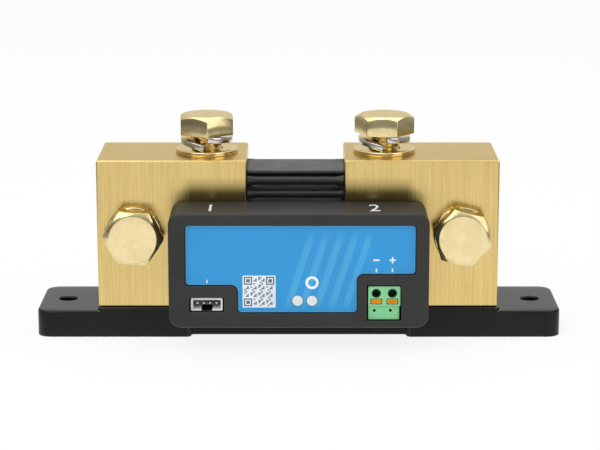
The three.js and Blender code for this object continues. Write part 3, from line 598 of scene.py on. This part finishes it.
def boltRings(length):
    shape = boltShape
    outline = hexPoints()
    angles = [math.atan2(y, x) for x, y in outline]
    rings = [[(0.02 * mm * math.cos(a), 0.02 * mm * math.sin(a), -length) for a in angles]]
    steps = round(length / shape["pitch"] * shape["stepsPerPitch"])
    depth = shape["majorRadius"] - shape["minorRadius"]
    for i in range(steps + 1):
        z = -length + length * i / steps
        ring = []
        for a in angles:
            phase = (z / shape["pitch"] - a / tau) % 1
            crest = min(1.0, max(0.0, shape["crestGain"] * (1 - abs(2 * phase - 1)) - shape["crestCut"]))
            fade = min(1.0, (length + z) / shape["pointLength"], -z / shape["runOut"])
            plain = shape["minorRadius"] if z < -length / 2 else shape["majorRadius"] - shape["shankInset"]
            radius = plain + (shape["minorRadius"] + depth * crest - plain) * max(0.0, fade)
            ring.append((radius * math.cos(a), radius * math.sin(a), z))
        rings.append(ring)
    slope = math.tan(math.radians(30))
    top = shape["headHeight"]

    def headRing(shrink, height):
        # height None: where the 30 degree chamfer meets the flats
        ring = []
        for x, y in outline:
            reach = math.hypot(x, y)
            new = reach - shrink
            z = top - max(0.0, reach - shape["faceRadius"]) * slope if height is None else height
            ring.append((x * new / reach, y * new / reach, z))
        return ring

    rings.append(headRing(0.25 * mm, 0.0))
    rings.append(headRing(0.05 * mm, 0.06 * mm))
    rings.append(headRing(0.0, 0.25 * mm))
    under = [(x, y, z - 0.18 * mm) for x, y, z in headRing(0.0, None)]
    rings.append(under)
    rings.append([(x * 0.988, y * 0.988, z + 0.02 * mm) for x, y, z in headRing(0.0, None)])
    for radius, z in ((shape["faceRadius"], top - 0.04 * mm), (shape["faceRadius"] - 0.3 * mm, top),
                      (5 * mm, top - 0.02 * mm), (0.02 * mm, top - 0.03 * mm)):
        rings.append([(radius * math.cos(a), radius * math.sin(a), z) for a in angles])
    return rings


def addBolt(name, body, length, turn, facing):
    low, high = span(name)
    centre = (low + high) / 2
    if facing == "up":
        seat = Vector((centre.x, centre.y, high.z - boltShape["headHeight"]))
        place = Matrix.Translation(seat)
    else:
        seat = Vector((centre.x, low.y + boltShape["headHeight"], centre.z))
        place = Matrix.Translation(seat) @ standing
    place = place @ Matrix.Rotation(math.radians(turn), 4, "Z")
    mesh = meshFromRings(boltRings(length), place=place)
    axis = place.to_3x3() @ Vector((0, 0, 1))
    # flags the flats, chamfer and shank, which the brass material paints darker as shade and dark reflections
    side = mesh.attributes.new("side", "FLOAT", "FACE")
    for face in mesh.polygons:
        side.data[face.index].value = float(abs(face.normal.dot(axis)) < boltShape["faceDot"])
    finishPiece(f"{name}_turned", mesh, boltBrass, body, [name], 32)


# the right-hand hexagons stand at other angles than the left-hand ones
bolts = {
    "top_bolt_left": ("bolt_top_left", 24.5 * mm, 3, "up"),
    "top_bolt_right": ("bolt_top_right", 24.5 * mm, 23, "up"),
    "front_bolt_left": ("bolt_front_left", 20 * mm, 26.5, "front"),
    "front_bolt_right": ("bolt_front_right", 20 * mm, 15.7, "front"),
}
for name, (body, length, turn, facing) in bolts.items():
    addBolt(name, body, length, turn, facing)
print("bolts made")


# washers

def flatWasherMesh(low, high, inner=5.25 * mm, edge=0.25 * mm):
    outer = (high.x - low.x) / 2
    profile = []
    for r, z, start in ((outer - edge, high.z - edge, 0), (inner + edge, high.z - edge, 90),
                        (inner + edge, low.z + edge, 180), (outer - edge, low.z + edge, 270)):
        for step in range(4):
            a = math.radians(start + step * 30)
            profile.append((r + edge * math.cos(a), z + edge * math.sin(a)))
    x, y = (low.x + high.x) / 2, (low.y + high.y) / 2
    rings = [[(x + px, y + py, pz) for px, py, pz in circleAt(r, z, 96)] for r, z in profile]
    return meshFromRings(rings, closed=True)


def springWasherMesh(shape, rise, place):
    # a left-handed ring with its gap towards -Y and its low end first; both ends bend off the ring
    wide = shape["outer"] - shape["inner"]
    thick = shape["thick"]
    section = roundedBox2d((-wide / 2, 0), (wide / 2, thick), shape["edge"], 3)
    turn = tau - shape["split"]
    steps = 120
    rings = []
    for i in range(steps + 1):
        share = i / steps
        lift = shape["lowShare"] * (1 - (1 - share) ** shape["bend"])
        lift += (1 - shape["lowShare"]) * share ** shape["bend"]
        angle = -math.pi / 2 - shape["split"] / 2 - turn * share
        ring = []
        for x, z in section:
            radius = (shape["outer"] + shape["inner"]) / 2 + x
            skew = shape["skew"] * (z / thick - 0.5)
            ring.append((radius * math.cos(angle + skew), radius * math.sin(angle + skew), z + rise * lift))
        rings.append(ring)
    return meshFromRings(rings, place=place)


springShapes = {
    "top": {"outer": 8.5 * mm, "inner": 5.1 * mm, "thick": 1.9 * mm, "split": 0.2, "edge": 0.22 * mm,
            "lowShare": 0.7, "bend": 8, "skew": 0.03},
    "front": {"outer": 9.05 * mm, "inner": 5.1 * mm, "thick": 2.2 * mm, "split": 0.05, "edge": 0.3 * mm,
              "lowShare": 0.7, "bend": 8, "skew": 0.03},
}

for side in ("left", "right"):
    low, high = span(f"top_flat_washer_{side}")
    finishPiece(f"top_flat_washer_{side}_turned", flatWasherMesh(low, high), boltBrass, f"washers_top_{side}",
                [f"top_flat_washer_{side}"])
    low, high = span(f"top_spring_washer_{side}")
    seat = Vector(((low.x + high.x) / 2, (low.y + high.y) / 2, low.z))
    rise = high.z - low.z - springShapes["top"]["thick"]
    finishPiece(f"top_spring_washer_{side}_wound",
                springWasherMesh(springShapes["top"], rise, Matrix.Translation(seat)), springSteel,
                f"washers_top_{side}", [f"top_spring_washer_{side}"])
    low, high = span(f"front_spring_washer_{side}")
    seat = Vector(((low.x + high.x) / 2, high.y, (low.z + high.z) / 2))
    finishPiece(f"front_spring_washer_{side}_wound",
                springWasherMesh(springShapes["front"], 0.0, Matrix.Translation(seat) @ standing), boltBrass,
                f"washer_front_{side}", [f"front_spring_washer_{side}"])
print("washers made")


# resistance strips

stripShape = {"solderLength": 2.9 * mm, "solderRise": 0.62 * mm, "thinRise": 0.2 * mm, "lump": 0.28 * mm,
              "thinLump": 0.4, "solderFall": 1.6, "lumpFall": 0.5, "wavesAlong": 420, "wavesUp": 300,
              "seedStep": 7}


def stripMesh(name, seed):
    low, high = span(name)
    shape = stripShape
    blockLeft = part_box("terminal_block_left")[1][0]
    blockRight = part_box("terminal_block_right")[0][0]
    thin = high.z - low.z < 2.2 * mm
    grow = 0.2 * mm
    zLow, zHigh = low.z + grow, high.z - grow
    yLow, yHigh = low.y + 0.5 * mm, high.y - 0.5 * mm
    rise = shape["thinRise"] if thin else shape["solderRise"]
    radius = (zHigh - zLow) / 2 - 0.01 * mm
    section = roundedBox2d((yLow, zLow), (yHigh, zHigh), radius, 6)
    outline = []
    for (ya, za), (yb, zb) in zip(section, section[1:] + section[:1]):
        pieces = max(1, round(math.hypot(yb - ya, zb - za) / (1.1 * mm)))
        outline += [(ya + (yb - ya) * k / pieces, za + (zb - za) * k / pieces) for k in range(pieces)]
    steps = [low.x, blockLeft - 0.3 * mm]
    steps += [blockLeft + shape["solderLength"] * k / 9 for k in range(10)]
    middleLow, middleHigh = steps[-1], blockRight - shape["solderLength"]
    steps += [middleLow + (middleHigh - middleLow) * k / 14 for k in range(1, 14)]
    steps += [middleHigh + shape["solderLength"] * k / 9 for k in range(10)]
    steps += [blockRight + 0.3 * mm, high.x]
    centreY, centreZ = (yLow + yHigh) / 2, (zLow + zHigh) / 2
    rings = []
    for x in steps:
        inside = min(x - blockLeft, blockRight - x)
        ring = []
        for y, z in outline:
            outY = 0.0 if abs(y - centreY) < (yHigh - yLow) / 2 - radius else (1 if y > centreY else -1)
            outZ = (z - centreZ) / radius
            out = Vector((outY * math.sqrt(max(0.0, 1 - min(1.0, outZ * outZ))), outZ))
            wobble = noise.noise(Vector((x * shape["wavesAlong"], y * shape["wavesAlong"],
                                        z * shape["wavesUp"] + seed * shape["seedStep"])))
            swell = 0.012 * mm * wobble
            if inside > 0:
                near = max(0.0, 1 - inside / shape["solderLength"])
                lump = (shape["thinLump"] if thin else 1.0) * shape["lump"]
                swell += rise * near ** shape["solderFall"] + lump * wobble * near ** shape["lumpFall"]
            elif inside > -0.4 * mm:
                swell = rise * 0.2 if not thin else 0.0
            else:
                swell = 0.0
            limit = rise + 0.1 * mm if not thin else rise
            ring.append((x, y + out.x * swell * 1.4, z + out.y * min(swell, limit)))
        rings.append(ring)
    return meshFromRings(rings)


for i in range(1, 6):
    name = f"resistor_strip_{i}"
    finishPiece(f"{name}_coated", stripMesh(name, i), stripCoating, "root", [name], 60)
print("strips made")


# base

baseShape = {"cornerRadius": 4.5 * mm, "edge": 0.8 * mm, "seatCorner": 1.6 * mm, "seatEdge": 0.6 * mm,
             "earDepth": 33 * mm, "earTop": 8.7 * mm, "seatHalf": 65.3 * mm, "notchHalf": 35 * mm,
             "notchDepth": 3.2 * mm, "holeRadius": 3.1 * mm, "holeFromEnd": 8.6 * mm,
             "rib": 2.2 * mm, "pocketDepth": 5.5 * mm, "pocketInset": 4 * mm, "pockets": 6,
             "screwWell": 4.9 * mm, "wellDepth": 4.0 * mm, "screwHole": 2.8 * mm, "pocketMargin": 6 * mm,
             "pocketGap": 7 * mm}


def buildBase():
    low, high = span("mounting_base")
    shape = baseShape
    front, half = low.y, high.x
    under = boxMesh((-half - 1, front - 1, -1), (half + 1, high.y + 1, 0.0))
    ears = roundedBox2d((-half, front), (half, front + shape["earDepth"]), shape["cornerRadius"], 10)
    lower = plateMesh([ears], -2 * mm, shape["earTop"], shape["edge"])
    seat = roundedBox2d((-shape["seatHalf"], front), (shape["seatHalf"], high.y), shape["seatCorner"], 6)
    upper = plateMesh([seat], -2 * mm, high.z, shape["seatEdge"])
    solid = booleanMesh(lower, [upper], "UNION")
    cutters = [under]
    lip = 1 * mm
    notch = [(-shape["notchHalf"] - lip, front - lip), (shape["notchHalf"] + lip, front - lip),
             (shape["notchHalf"] + lip, front), (shape["notchHalf"], front + lip)]
    notch += cornerArc((shape["notchHalf"] - lip, front + shape["notchDepth"] - lip), lip, 0, math.pi / 2, 4)
    notch += cornerArc((lip - shape["notchHalf"], front + shape["notchDepth"] - lip), lip, math.pi / 2,
                       math.pi / 2, 4)
    notch += [(-shape["notchHalf"], front + lip), (-shape["notchHalf"] - lip, front)]
    cutters.append(plateMesh([notch], -3 * mm, high.z + 3 * mm))
    earMiddle = front + shape["earDepth"] / 2
    for end in (-1, 1):
        x = end * (half - shape["holeFromEnd"])
        cutters.append(plateMesh([circle2d((x, earMiddle), shape["holeRadius"])], -3 * mm, high.z + 3 * mm))
        ring = meshFromRings([circleAt(shape["holeRadius"] - 0.2 * mm, shape["earTop"] - 0.55 * mm),
                              circleAt(shape["holeRadius"] + 0.5 * mm, shape["earTop"] + 0.15 * mm)],
                             place=Matrix.Translation((x, earMiddle, 0)))
        cutters.append(ring)
    for i in range(1, 5):
        screw = middle(f"base_screw_{i}")
        centre = (screw.x, screw.y)
        cutters.append(plateMesh([circle2d(centre, shape["screwWell"])], -3 * mm, shape["wellDepth"]))
        cutters.append(plateMesh([circle2d(centre, shape["screwHole"])], 3 * mm, high.z + 3 * mm))
    blockMiddle = middle("terminal_block_left").y
    margin, gap = shape["pocketMargin"], shape["pocketGap"]
    rows = ((front + margin, blockMiddle - gap), (blockMiddle + gap, high.y - margin))
    start = -shape["seatHalf"] + shape["pocketInset"]
    width = -2 * start / shape["pockets"]
    for row in rows:
        for i in range(shape["pockets"]):
            left = start + i * width + shape["rib"] / 2
            pocket = roundedBox2d((left, row[0]), (left + width - shape["rib"], row[1]), 1.0 * mm, 3)
            cutters.append(plateMesh([pocket], -3 * mm, shape["pocketDepth"], 0.4 * mm, edgeSteps=2))
    return booleanMesh(solid, cutters)


finishPiece("mounting_base_moulded", buildBase(), basePlastic, "root", ["mounting_base"], 30)
print("base made")


# meter box

boxShape = {"cornerRadius": 4 * mm, "edge": 1.1 * mm, "wall": 1.8 * mm, "frontWall": 2.9 * mm,
            "recess": 1.5 * mm, "flare": 0.65 * mm, "corner": 1.2 * mm, "inside": 2 * mm, "margin": 0.2 * mm,
            "windowRadius": 1.85 * mm}
# corners of the front sheet's field, as X and Z
fieldShape = {"left": -35.8 * mm, "right": 36.9 * mm, "top": 40.9 * mm, "lowLeft": 21.4 * mm,
              "lowMiddle": 12.5 * mm, "lowRight": 25 * mm, "middleLeft": -19.35 * mm,
              "middleRight": 18.5 * mm}


def fieldOutline(grow=0.0):
    field, quarter = fieldShape, math.pi / 2
    left, right = field["left"] - grow, field["right"] + grow
    top = field["top"] + grow
    lowLeft, lowMiddle, lowRight = (field[key] - grow for key in ("lowLeft", "lowMiddle", "lowRight"))
    middleLeft, middleRight = field["middleLeft"] - grow, field["middleRight"] + grow
    convex = boxShape["corner"] + grow
    hollow = boxShape["inside"] - grow
    points = cornerArc((left + convex, lowLeft + convex), convex, 2 * quarter, quarter)
    points += cornerArc((middleLeft - hollow, lowLeft - hollow), hollow, quarter, -quarter)
    points += cornerArc((middleLeft + convex, lowMiddle + convex), convex, 2 * quarter, quarter)
    points += cornerArc((middleRight - convex, lowMiddle + convex), convex, 3 * quarter, quarter)
    points += cornerArc((middleRight + hollow, lowRight - hollow), hollow, 2 * quarter, -quarter)
    points += cornerArc((right - convex, lowRight + convex), convex, 3 * quarter, quarter)
    points += cornerArc((right - convex, top - convex), convex, 0, quarter)
    points += cornerArc((left + convex, top - convex), convex, quarter, quarter)
    return points


def flaredCutter(front, depth, flare):
    # the field cut straight, then widening in a quarter round towards the front
    rings = []
    for grow, y in [(0.0, front + depth), (0.0, front + flare)] + [
            (flare * (1 - math.cos(a)), front + flare * (1 - math.sin(a)))
            for a in (math.radians(k) for k in (30, 60, 90))] + [(flare, front - 1 * mm)]:
        rings.append([(x, y, z) for x, z in fieldOutline(grow)])
    return meshFromRings(rings)


def windowCutter(low, high, front, depth, radius=0.4 * mm):
    return plateMesh([roundedBox2d(low, high, radius, 3)], -front - depth, -front + 1 * mm, place=standing)


def buildShell():
    low, high = span("housing_shell")
    shape = boxShape
    outer = roundedBox2d((low.x, low.z), (high.x, high.z), shape["cornerRadius"], 10)
    body = plateMesh([outer], -high.y - 2 * mm, -low.y, shape["edge"], standing, 5)
    wall = shape["wall"]
    inner = roundedBox2d((low.x + wall, low.z + wall), (high.x - wall, high.z - wall), 2.6 * mm, 6)
    cutters = [boxMesh((low.x - 1, high.y, -1), (high.x + 1, high.y + 1, 1)),
               plateMesh([inner], -high.y - 3 * mm, -low.y - shape["frontWall"], place=standing),
               flaredCutter(low.y, shape["recess"], shape["flare"])]
    for i in (1, 2):
        lamp = middle(f"light_guide_{i}")
        cutters.append(plateMesh([circle2d((lamp.x, lamp.z), shape["windowRadius"])], -low.y - 5 * mm,
                                 -low.y + 1 * mm, place=standing))
    socketLow, socketHigh = span("data_socket")
    cutters.append(windowCutter((socketLow.x - 0.55 * mm, socketLow.z - 0.3 * mm),
                                (socketHigh.x + 0.5 * mm, socketHigh.z + 0.35 * mm), low.y, 5 * mm))
    greenLow, greenHigh = span("wire_terminal")
    cutters.append(windowCutter((greenLow.x - 0.5 * mm, greenLow.z - 0.3 * mm),
                                (greenHigh.x + 0.3 * mm, greenHigh.z + 0.45 * mm), low.y, 5 * mm, 0.3 * mm))
    baseFront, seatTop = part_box("mounting_base")[0][1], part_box("mounting_base")[1][2]
    cutters.append(boxMesh((low.x - 1, baseFront - 0.3 * mm, -1),
                           (high.x + 1, high.y + 1, seatTop + 0.3 * mm)))
    return booleanMesh(body, cutters)


finishPiece("housing_shell_moulded", buildShell(), boxPlastic, "root", ["housing_shell"],
            30)


def buildLabel():
    low, high = span("front_label")
    holes = []
    for i in (1, 2):
        lamp = middle(f"light_guide_{i}")
        holes.append(circle2d((lamp.x, lamp.z), boxShape["windowRadius"]))
    return plateMesh([fieldOutline(-boxShape["margin"]), *holes], -high.y, -low.y, place=standing)


finishPiece("front_label_sheet", buildLabel(), labelSheet, "root", ["front_label"], 30)
print("meter box made")


# print on the sheet and on the box

def inkMesh(outlines, face, thick=0.03 * mm):
    sheets = [plateMesh([outline], face - 0.01 * mm, face + thick, place=standing) for outline in outlines]
    return joinMeshes(sheets)


def bar2d(centre, width, height):
    x, y = centre
    return [(x - width / 2, y - height / 2), (x + width / 2, y - height / 2),
            (x + width / 2, y + height / 2), (x - width / 2, y + height / 2)]


def rimMesh(face):
    # a thin pale line just inside the sheet's edge
    outer = fieldOutline(-boxShape["margin"] - 0.05 * mm)
    inner = fieldOutline(-boxShape["margin"] - 0.38 * mm)
    return plateMesh([outer, inner], face - 0.01 * mm, face + 0.02 * mm, place=standing)


def numeralMesh(text, size, place):
    curve = bpy.data.curves.new("numeral", "FONT")
    curve.body = text
    curve.size = size
    curve.extrude = 0.02 * mm
    curve.align_x = "CENTER"
    mesh = meshOfObject(newObject("numeral", curve))
    mesh.transform(place)
    return mesh


printShape = {"tickWidth": 0.35 * mm, "tickHeight": 1.2 * mm, "leadWidth": 0.45 * mm, "tickAbove": 1.3 * mm,
              "signAbove": 4.6 * mm, "signLength": 2.0 * mm, "signWidth": 0.5 * mm, "ringAbove": 5.9 * mm,
              "ringOuter": 2.1 * mm, "ringInner": 1.25 * mm, "inkOver": 0.045 * mm,
              "squareAt": (-12.5 * mm, 19.4 * mm), "squareSide": 10.4 * mm, "cells": 19,
              "cellPitch": 0.5 * mm, "cellSide": 0.47 * mm, "eye": 1.1 * mm, "eyeLine": 0.4 * mm,
              "eyeLong": 2.6 * mm, "eyeShort": 1.8 * mm, "numeralSize": 7 * mm, "numeralBack": 4.5 * mm,
              "numeralStretch": (1.1, 2.0), "numeralsAt": {"1": -28 * mm, "2": 24 * mm}}


def addPrint():
    shape = printShape
    sheetFace = -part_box("front_label")[0][1]
    socket, green = middle("data_socket"), middle("wire_terminal")
    lampRight = middle("light_guide_2")
    pole = 2.54 * mm
    ringCentre = (lampRight.x, lampRight.z + shape["ringAbove"])
    white = [circle2d(ringCentre, shape["ringOuter"])]
    white.append(bar2d((socket.x + 0.1 * mm, fieldShape["lowLeft"] + shape["tickAbove"]), shape["tickWidth"],
                       shape["tickHeight"]))
    minus, plus = [(green.x + side * pole, fieldShape["lowRight"] + shape["signAbove"]) for side in (-1, 1)]
    for x in (green.x - pole, green.x + pole):
        white.append(bar2d((x, fieldShape["lowRight"] + shape["tickAbove"]), shape["leadWidth"],
                           shape["tickHeight"]))
    for sign in (plus, minus):
        white.append(bar2d(sign, shape["signLength"], shape["signWidth"]))
    white.append(bar2d(shape["squareAt"], shape["squareSide"], shape["squareSide"]))
    upright = [bar2d(plus, shape["signWidth"], shape["signLength"])]
    # a meaningless matrix of small squares, with a ring in three corners
    count, pitch, dots = shape["cells"], shape["cellPitch"], []

    def matrixSpot(column, row):
        centreX, centreZ = shape["squareAt"]
        return centreX + (column - (count - 1) / 2) * pitch, centreZ + (row - (count - 1) / 2) * pitch

    for row in range(count):
        for column in range(count):
            edgeColumn, edgeRow = min(column, count - 1 - column), min(row, count - 1 - row)
            inCorner = edgeColumn < 6 and edgeRow < 6 and not (column > 9 and row < 9)
            if not inCorner and (column * column * 3 + row * 7 + column * row) % 5 < 2:
                dots.append(bar2d(matrixSpot(column, row), shape["cellSide"], shape["cellSide"]))
    for column, row in ((2, 2), (2, count - 3), (count - 3, count - 3)):
        spot = matrixSpot(column, row)
        dots.append(bar2d(spot, shape["eye"], shape["eye"]))
        for away in (-shape["eye"], shape["eye"]):
            dots.append(bar2d((spot[0] + away, spot[1]), shape["eyeLine"], shape["eyeLong"]))
            dots.append(bar2d((spot[0], spot[1] + away), shape["eyeShort"], shape["eyeLine"]))
    blue = [circle2d(ringCentre, shape["ringInner"])]
    prints = {"white": (inkMesh(white, sheetFace), whiteInk),
              "plus": (inkMesh(upright, sheetFace, 0.035 * mm), whiteInk),
              "grid": (inkMesh(dots, sheetFace, shape["inkOver"]), greyInk),
              "ring": (inkMesh(blue, sheetFace, shape["inkOver"]), labelSheet),
              "rim": (rimMesh(sheetFace), rimInk)}
    for name, (mesh, ink) in prints.items():
        finishPiece(f"sheet_print_{name}", mesh, ink, "root")
    boxLow, boxHigh = span("housing_shell")
    for text, x in shape["numeralsAt"].items():
        place = Matrix.Translation((x, boxLow.y + shape["numeralBack"], boxHigh.z))
        place = place @ Matrix.Diagonal((*shape["numeralStretch"], 1, 1))
        finishPiece(f"box_numeral_{text}", numeralMesh(text, shape["numeralSize"], place), whiteInk, "root")


addPrint()
print("print made")


# terminal and levers

terminalShape = {"wireAbove": 1.9 * mm, "wireDepth": 4.5 * mm, "stepHeight": 14.8 * mm, "step": 0.35 * mm,
                 "rim": 0.15 * mm, "mouth": 1.5 * mm, "throat": 1.12 * mm, "throatDrop": 0.42 * mm,
                 "throatDepth": 1.5 * mm, "gap": 0.2 * mm, "testHeight": 13.4 * mm, "testShift": 0.6 * mm,
                 "testRadius": 0.5 * mm}


def buildTerminal():
    shape = terminalShape
    low, high = span("wire_terminal")
    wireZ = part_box("release_lever_1")[1][2] + shape["wireAbove"]
    upper = plateMesh([roundedBox2d((low.x, shape["stepHeight"]), (high.x, high.z), 0.3 * mm, 3)],
                      -high.y, -low.y, shape["rim"], standing, 2)
    lower = plateMesh([roundedBox2d((low.x, low.z), (high.x - shape["step"], shape["stepHeight"] + 1 * mm),
                                    0.25 * mm, 3)],
                      -high.y, -low.y - shape["step"], shape["rim"], standing, 2)
    solid = booleanMesh(upper, [lower], "UNION")
    cutters = []
    for i in (1, 2):
        leverLow, leverHigh = span(f"release_lever_{i}")
        x = (leverLow.x + leverHigh.x) / 2
        gap = shape["gap"]
        # a wide mouth whose roof slopes down to a lower, narrower throat
        rings = []
        for radius, drop, depth in ((shape["throat"], shape["throatDrop"], shape["wireDepth"]),
                                    (shape["throat"], shape["throatDrop"], shape["throatDepth"]),
                                    (shape["mouth"], 0.0, 0.25 * mm),
                                    (shape["mouth"] + 0.12 * mm, 0.0, -0.6 * mm)):
            ring = circle2d((x, wireZ - drop), radius, 40)
            rings.append([(px, low.y + depth, pz) for px, pz in ring])
        cutters.append(meshFromRings(rings))
        cutters.append(boxMesh((leverLow.x - gap, low.y - 1 * mm, leverLow.z - gap),
                               (leverHigh.x + gap, high.y - 1 * mm, leverHigh.z + gap)))
        testHole = circle2d((x - shape["testShift"], shape["testHeight"]), shape["testRadius"], 24)
        cutters.append(plateMesh([testHole], -low.y - 3 * mm, -low.y + 1 * mm, place=standing))
    return booleanMesh(solid, cutters)


finishPiece("wire_terminal_moulded", buildTerminal(), greenPlastic, "root", ["wire_terminal"],
            30)


def leverMesh(name):
    low, high = span(name)
    body = plateMesh([roundedBox2d((low.x, low.z), (high.x, high.z), 0.3 * mm, 3)], -high.y, -low.y,
                     0.25 * mm, standing, 3)
    z = (low.z + high.z) / 2
    groove = boxMesh((low.x + 0.8 * mm, low.y - 1 * mm, z - 0.12 * mm),
                     (high.x - 0.8 * mm, low.y + 0.2 * mm, z + 0.12 * mm))
    return booleanMesh(body, [groove])


for i in (1, 2):
    name = f"release_lever_{i}"
    finishPiece(f"{name}_moulded", leverMesh(name), orangePlastic, f"lever_{i}", [name], 30)
print("terminal made")


# studio

def addArea(name, place, target, size, power):
    light = bpy.data.lights.new(name, "AREA")
    light.shape = "RECTANGLE"
    light.size, light.size_y = size
    light.energy = power
    lamp = newObject(name, light)
    lamp.location = place
    lamp.rotation_euler = (Vector(target) - Vector(place)).to_track_quat("-Z", "Y").to_euler()


studioLook = {"floorShow": 0.86, "floorGlow": 1.0, "floorSide": 0.28, "ambient": 0.62, "frontHorizon": 0.30,
              "backHorizon": 0.72, "overhead": 0.82, "sides": 0.50}
lamps = {
    "key_softbox": {"place": (-0.55, -0.75, 0.95), "size": (1.0, 1.0), "power": 6.0},
    "fill_softbox": {"place": (0.75, -0.65, 0.45), "size": (0.7, 0.9), "power": 2.3},
    "top_softbox": {"place": (0.0, 0.25, 1.0), "size": (1.5, 1.1), "power": 5.0},
}


def buildStudio():
    look = studioLook
    floor = bpy.data.meshes.new("floor")
    half = 12
    corners = [(-half, -half, 0), (half, -half, 0), (half, half, 0), (-half, half, 0)]
    floor.from_pydata(corners, [], [(0, 1, 2, 3)])
    floorPiece = newObject("studio_floor", floor)
    material, tree, shader = newMaterial("paleFloor", Roughness=0.7, Specular_IOR_Level=0.2)
    shader.inputs["Base Color"].default_value = (0.86, 0.86, 0.86, 1)
    # reflections see a white sweep that fades out sideways
    path = addNode(tree, "LightPath")
    coords = addNode(tree, "TexCoord")
    place = addNode(tree, "SeparateXYZ", {0: coords.outputs["Object"]})
    sideways = mathNode(tree, "ABSOLUTE", place.outputs["X"])
    sweep = rampNode(tree, sideways, 0.13, 0.26, look["floorGlow"], look["floorSide"])
    direct = times(tree, path.outputs["Is Camera Ray"], look["floorShow"])
    bright = mixNumber(tree, path.outputs["Is Glossy Ray"], 1.0, sweep)
    glow = addNode(tree, "Emission", {"Color": (1, 1, 1, 1), "Strength": bright})
    seen = mathNode(tree, "MAXIMUM", direct, path.outputs["Is Glossy Ray"])
    mix = addNode(tree, "MixShader", {0: seen, 1: shader.outputs[0], 2: glow.outputs[0]})
    tree.links.new(mix.outputs[0], tree.nodes["Material Output"].inputs["Surface"])
    floor.materials.append(material)

    world = bpy.data.worlds.new("studio")
    bpy.context.scene.world = world
    world.use_nodes = True
    tree = world.node_tree
    path = addNode(tree, "LightPath")
    shown = mathNode(tree, "MAXIMUM", path.outputs["Is Camera Ray"], path.outputs["Is Transmission Ray"])
    coords = addNode(tree, "TexCoord")
    direction = addNode(tree, "SeparateXYZ", {0: coords.outputs["Generated"]})
    # reflections: dim behind the camera and at the sides, lighter at the back and overhead
    horizon = rampNode(tree, direction.outputs["Y"], -0.4, 0.4, look["frontHorizon"], look["backHorizon"])
    raised = rampNode(tree, direction.outputs["Z"], 0.25, 0.75)
    sky = mixNumber(tree, raised, horizon, look["overhead"])
    sides = rampNode(tree, mathNode(tree, "ABSOLUTE", direction.outputs["X"]), 0.3, 0.9, 1.0, look["sides"])
    glossy = times(tree, sky, sides)
    ambient = mixNumber(tree, path.outputs["Is Glossy Ray"], look["ambient"], glossy)
    tree.links.new(mixNumber(tree, shown, ambient, 1.0), tree.nodes["Background"].inputs["Strength"])
    tree.nodes["Background"].inputs["Color"].default_value = (1, 1, 1, 1)

    for name, lamp in lamps.items():
        addArea(name, lamp["place"], (0, 0, 0.035), lamp["size"], lamp["power"])


buildStudio()

cameraShape = {"place": (0.0004, -0.6832, 0.1891), "tilt": 12.7, "lens": 129}
cameraData = bpy.data.cameras.new("camera")
cameraData.lens = cameraShape["lens"]
cameraData.sensor_width = 36
cameraData.clip_start = 0.01
camera = newObject("camera", cameraData)
camera.location = cameraShape["place"]
camera.rotation_euler = (math.radians(90 - cameraShape["tilt"]), 0, 0)
bpy.context.scene.camera = camera
bpy.context.scene.view_settings.view_transform = "Standard"
print("studio made")
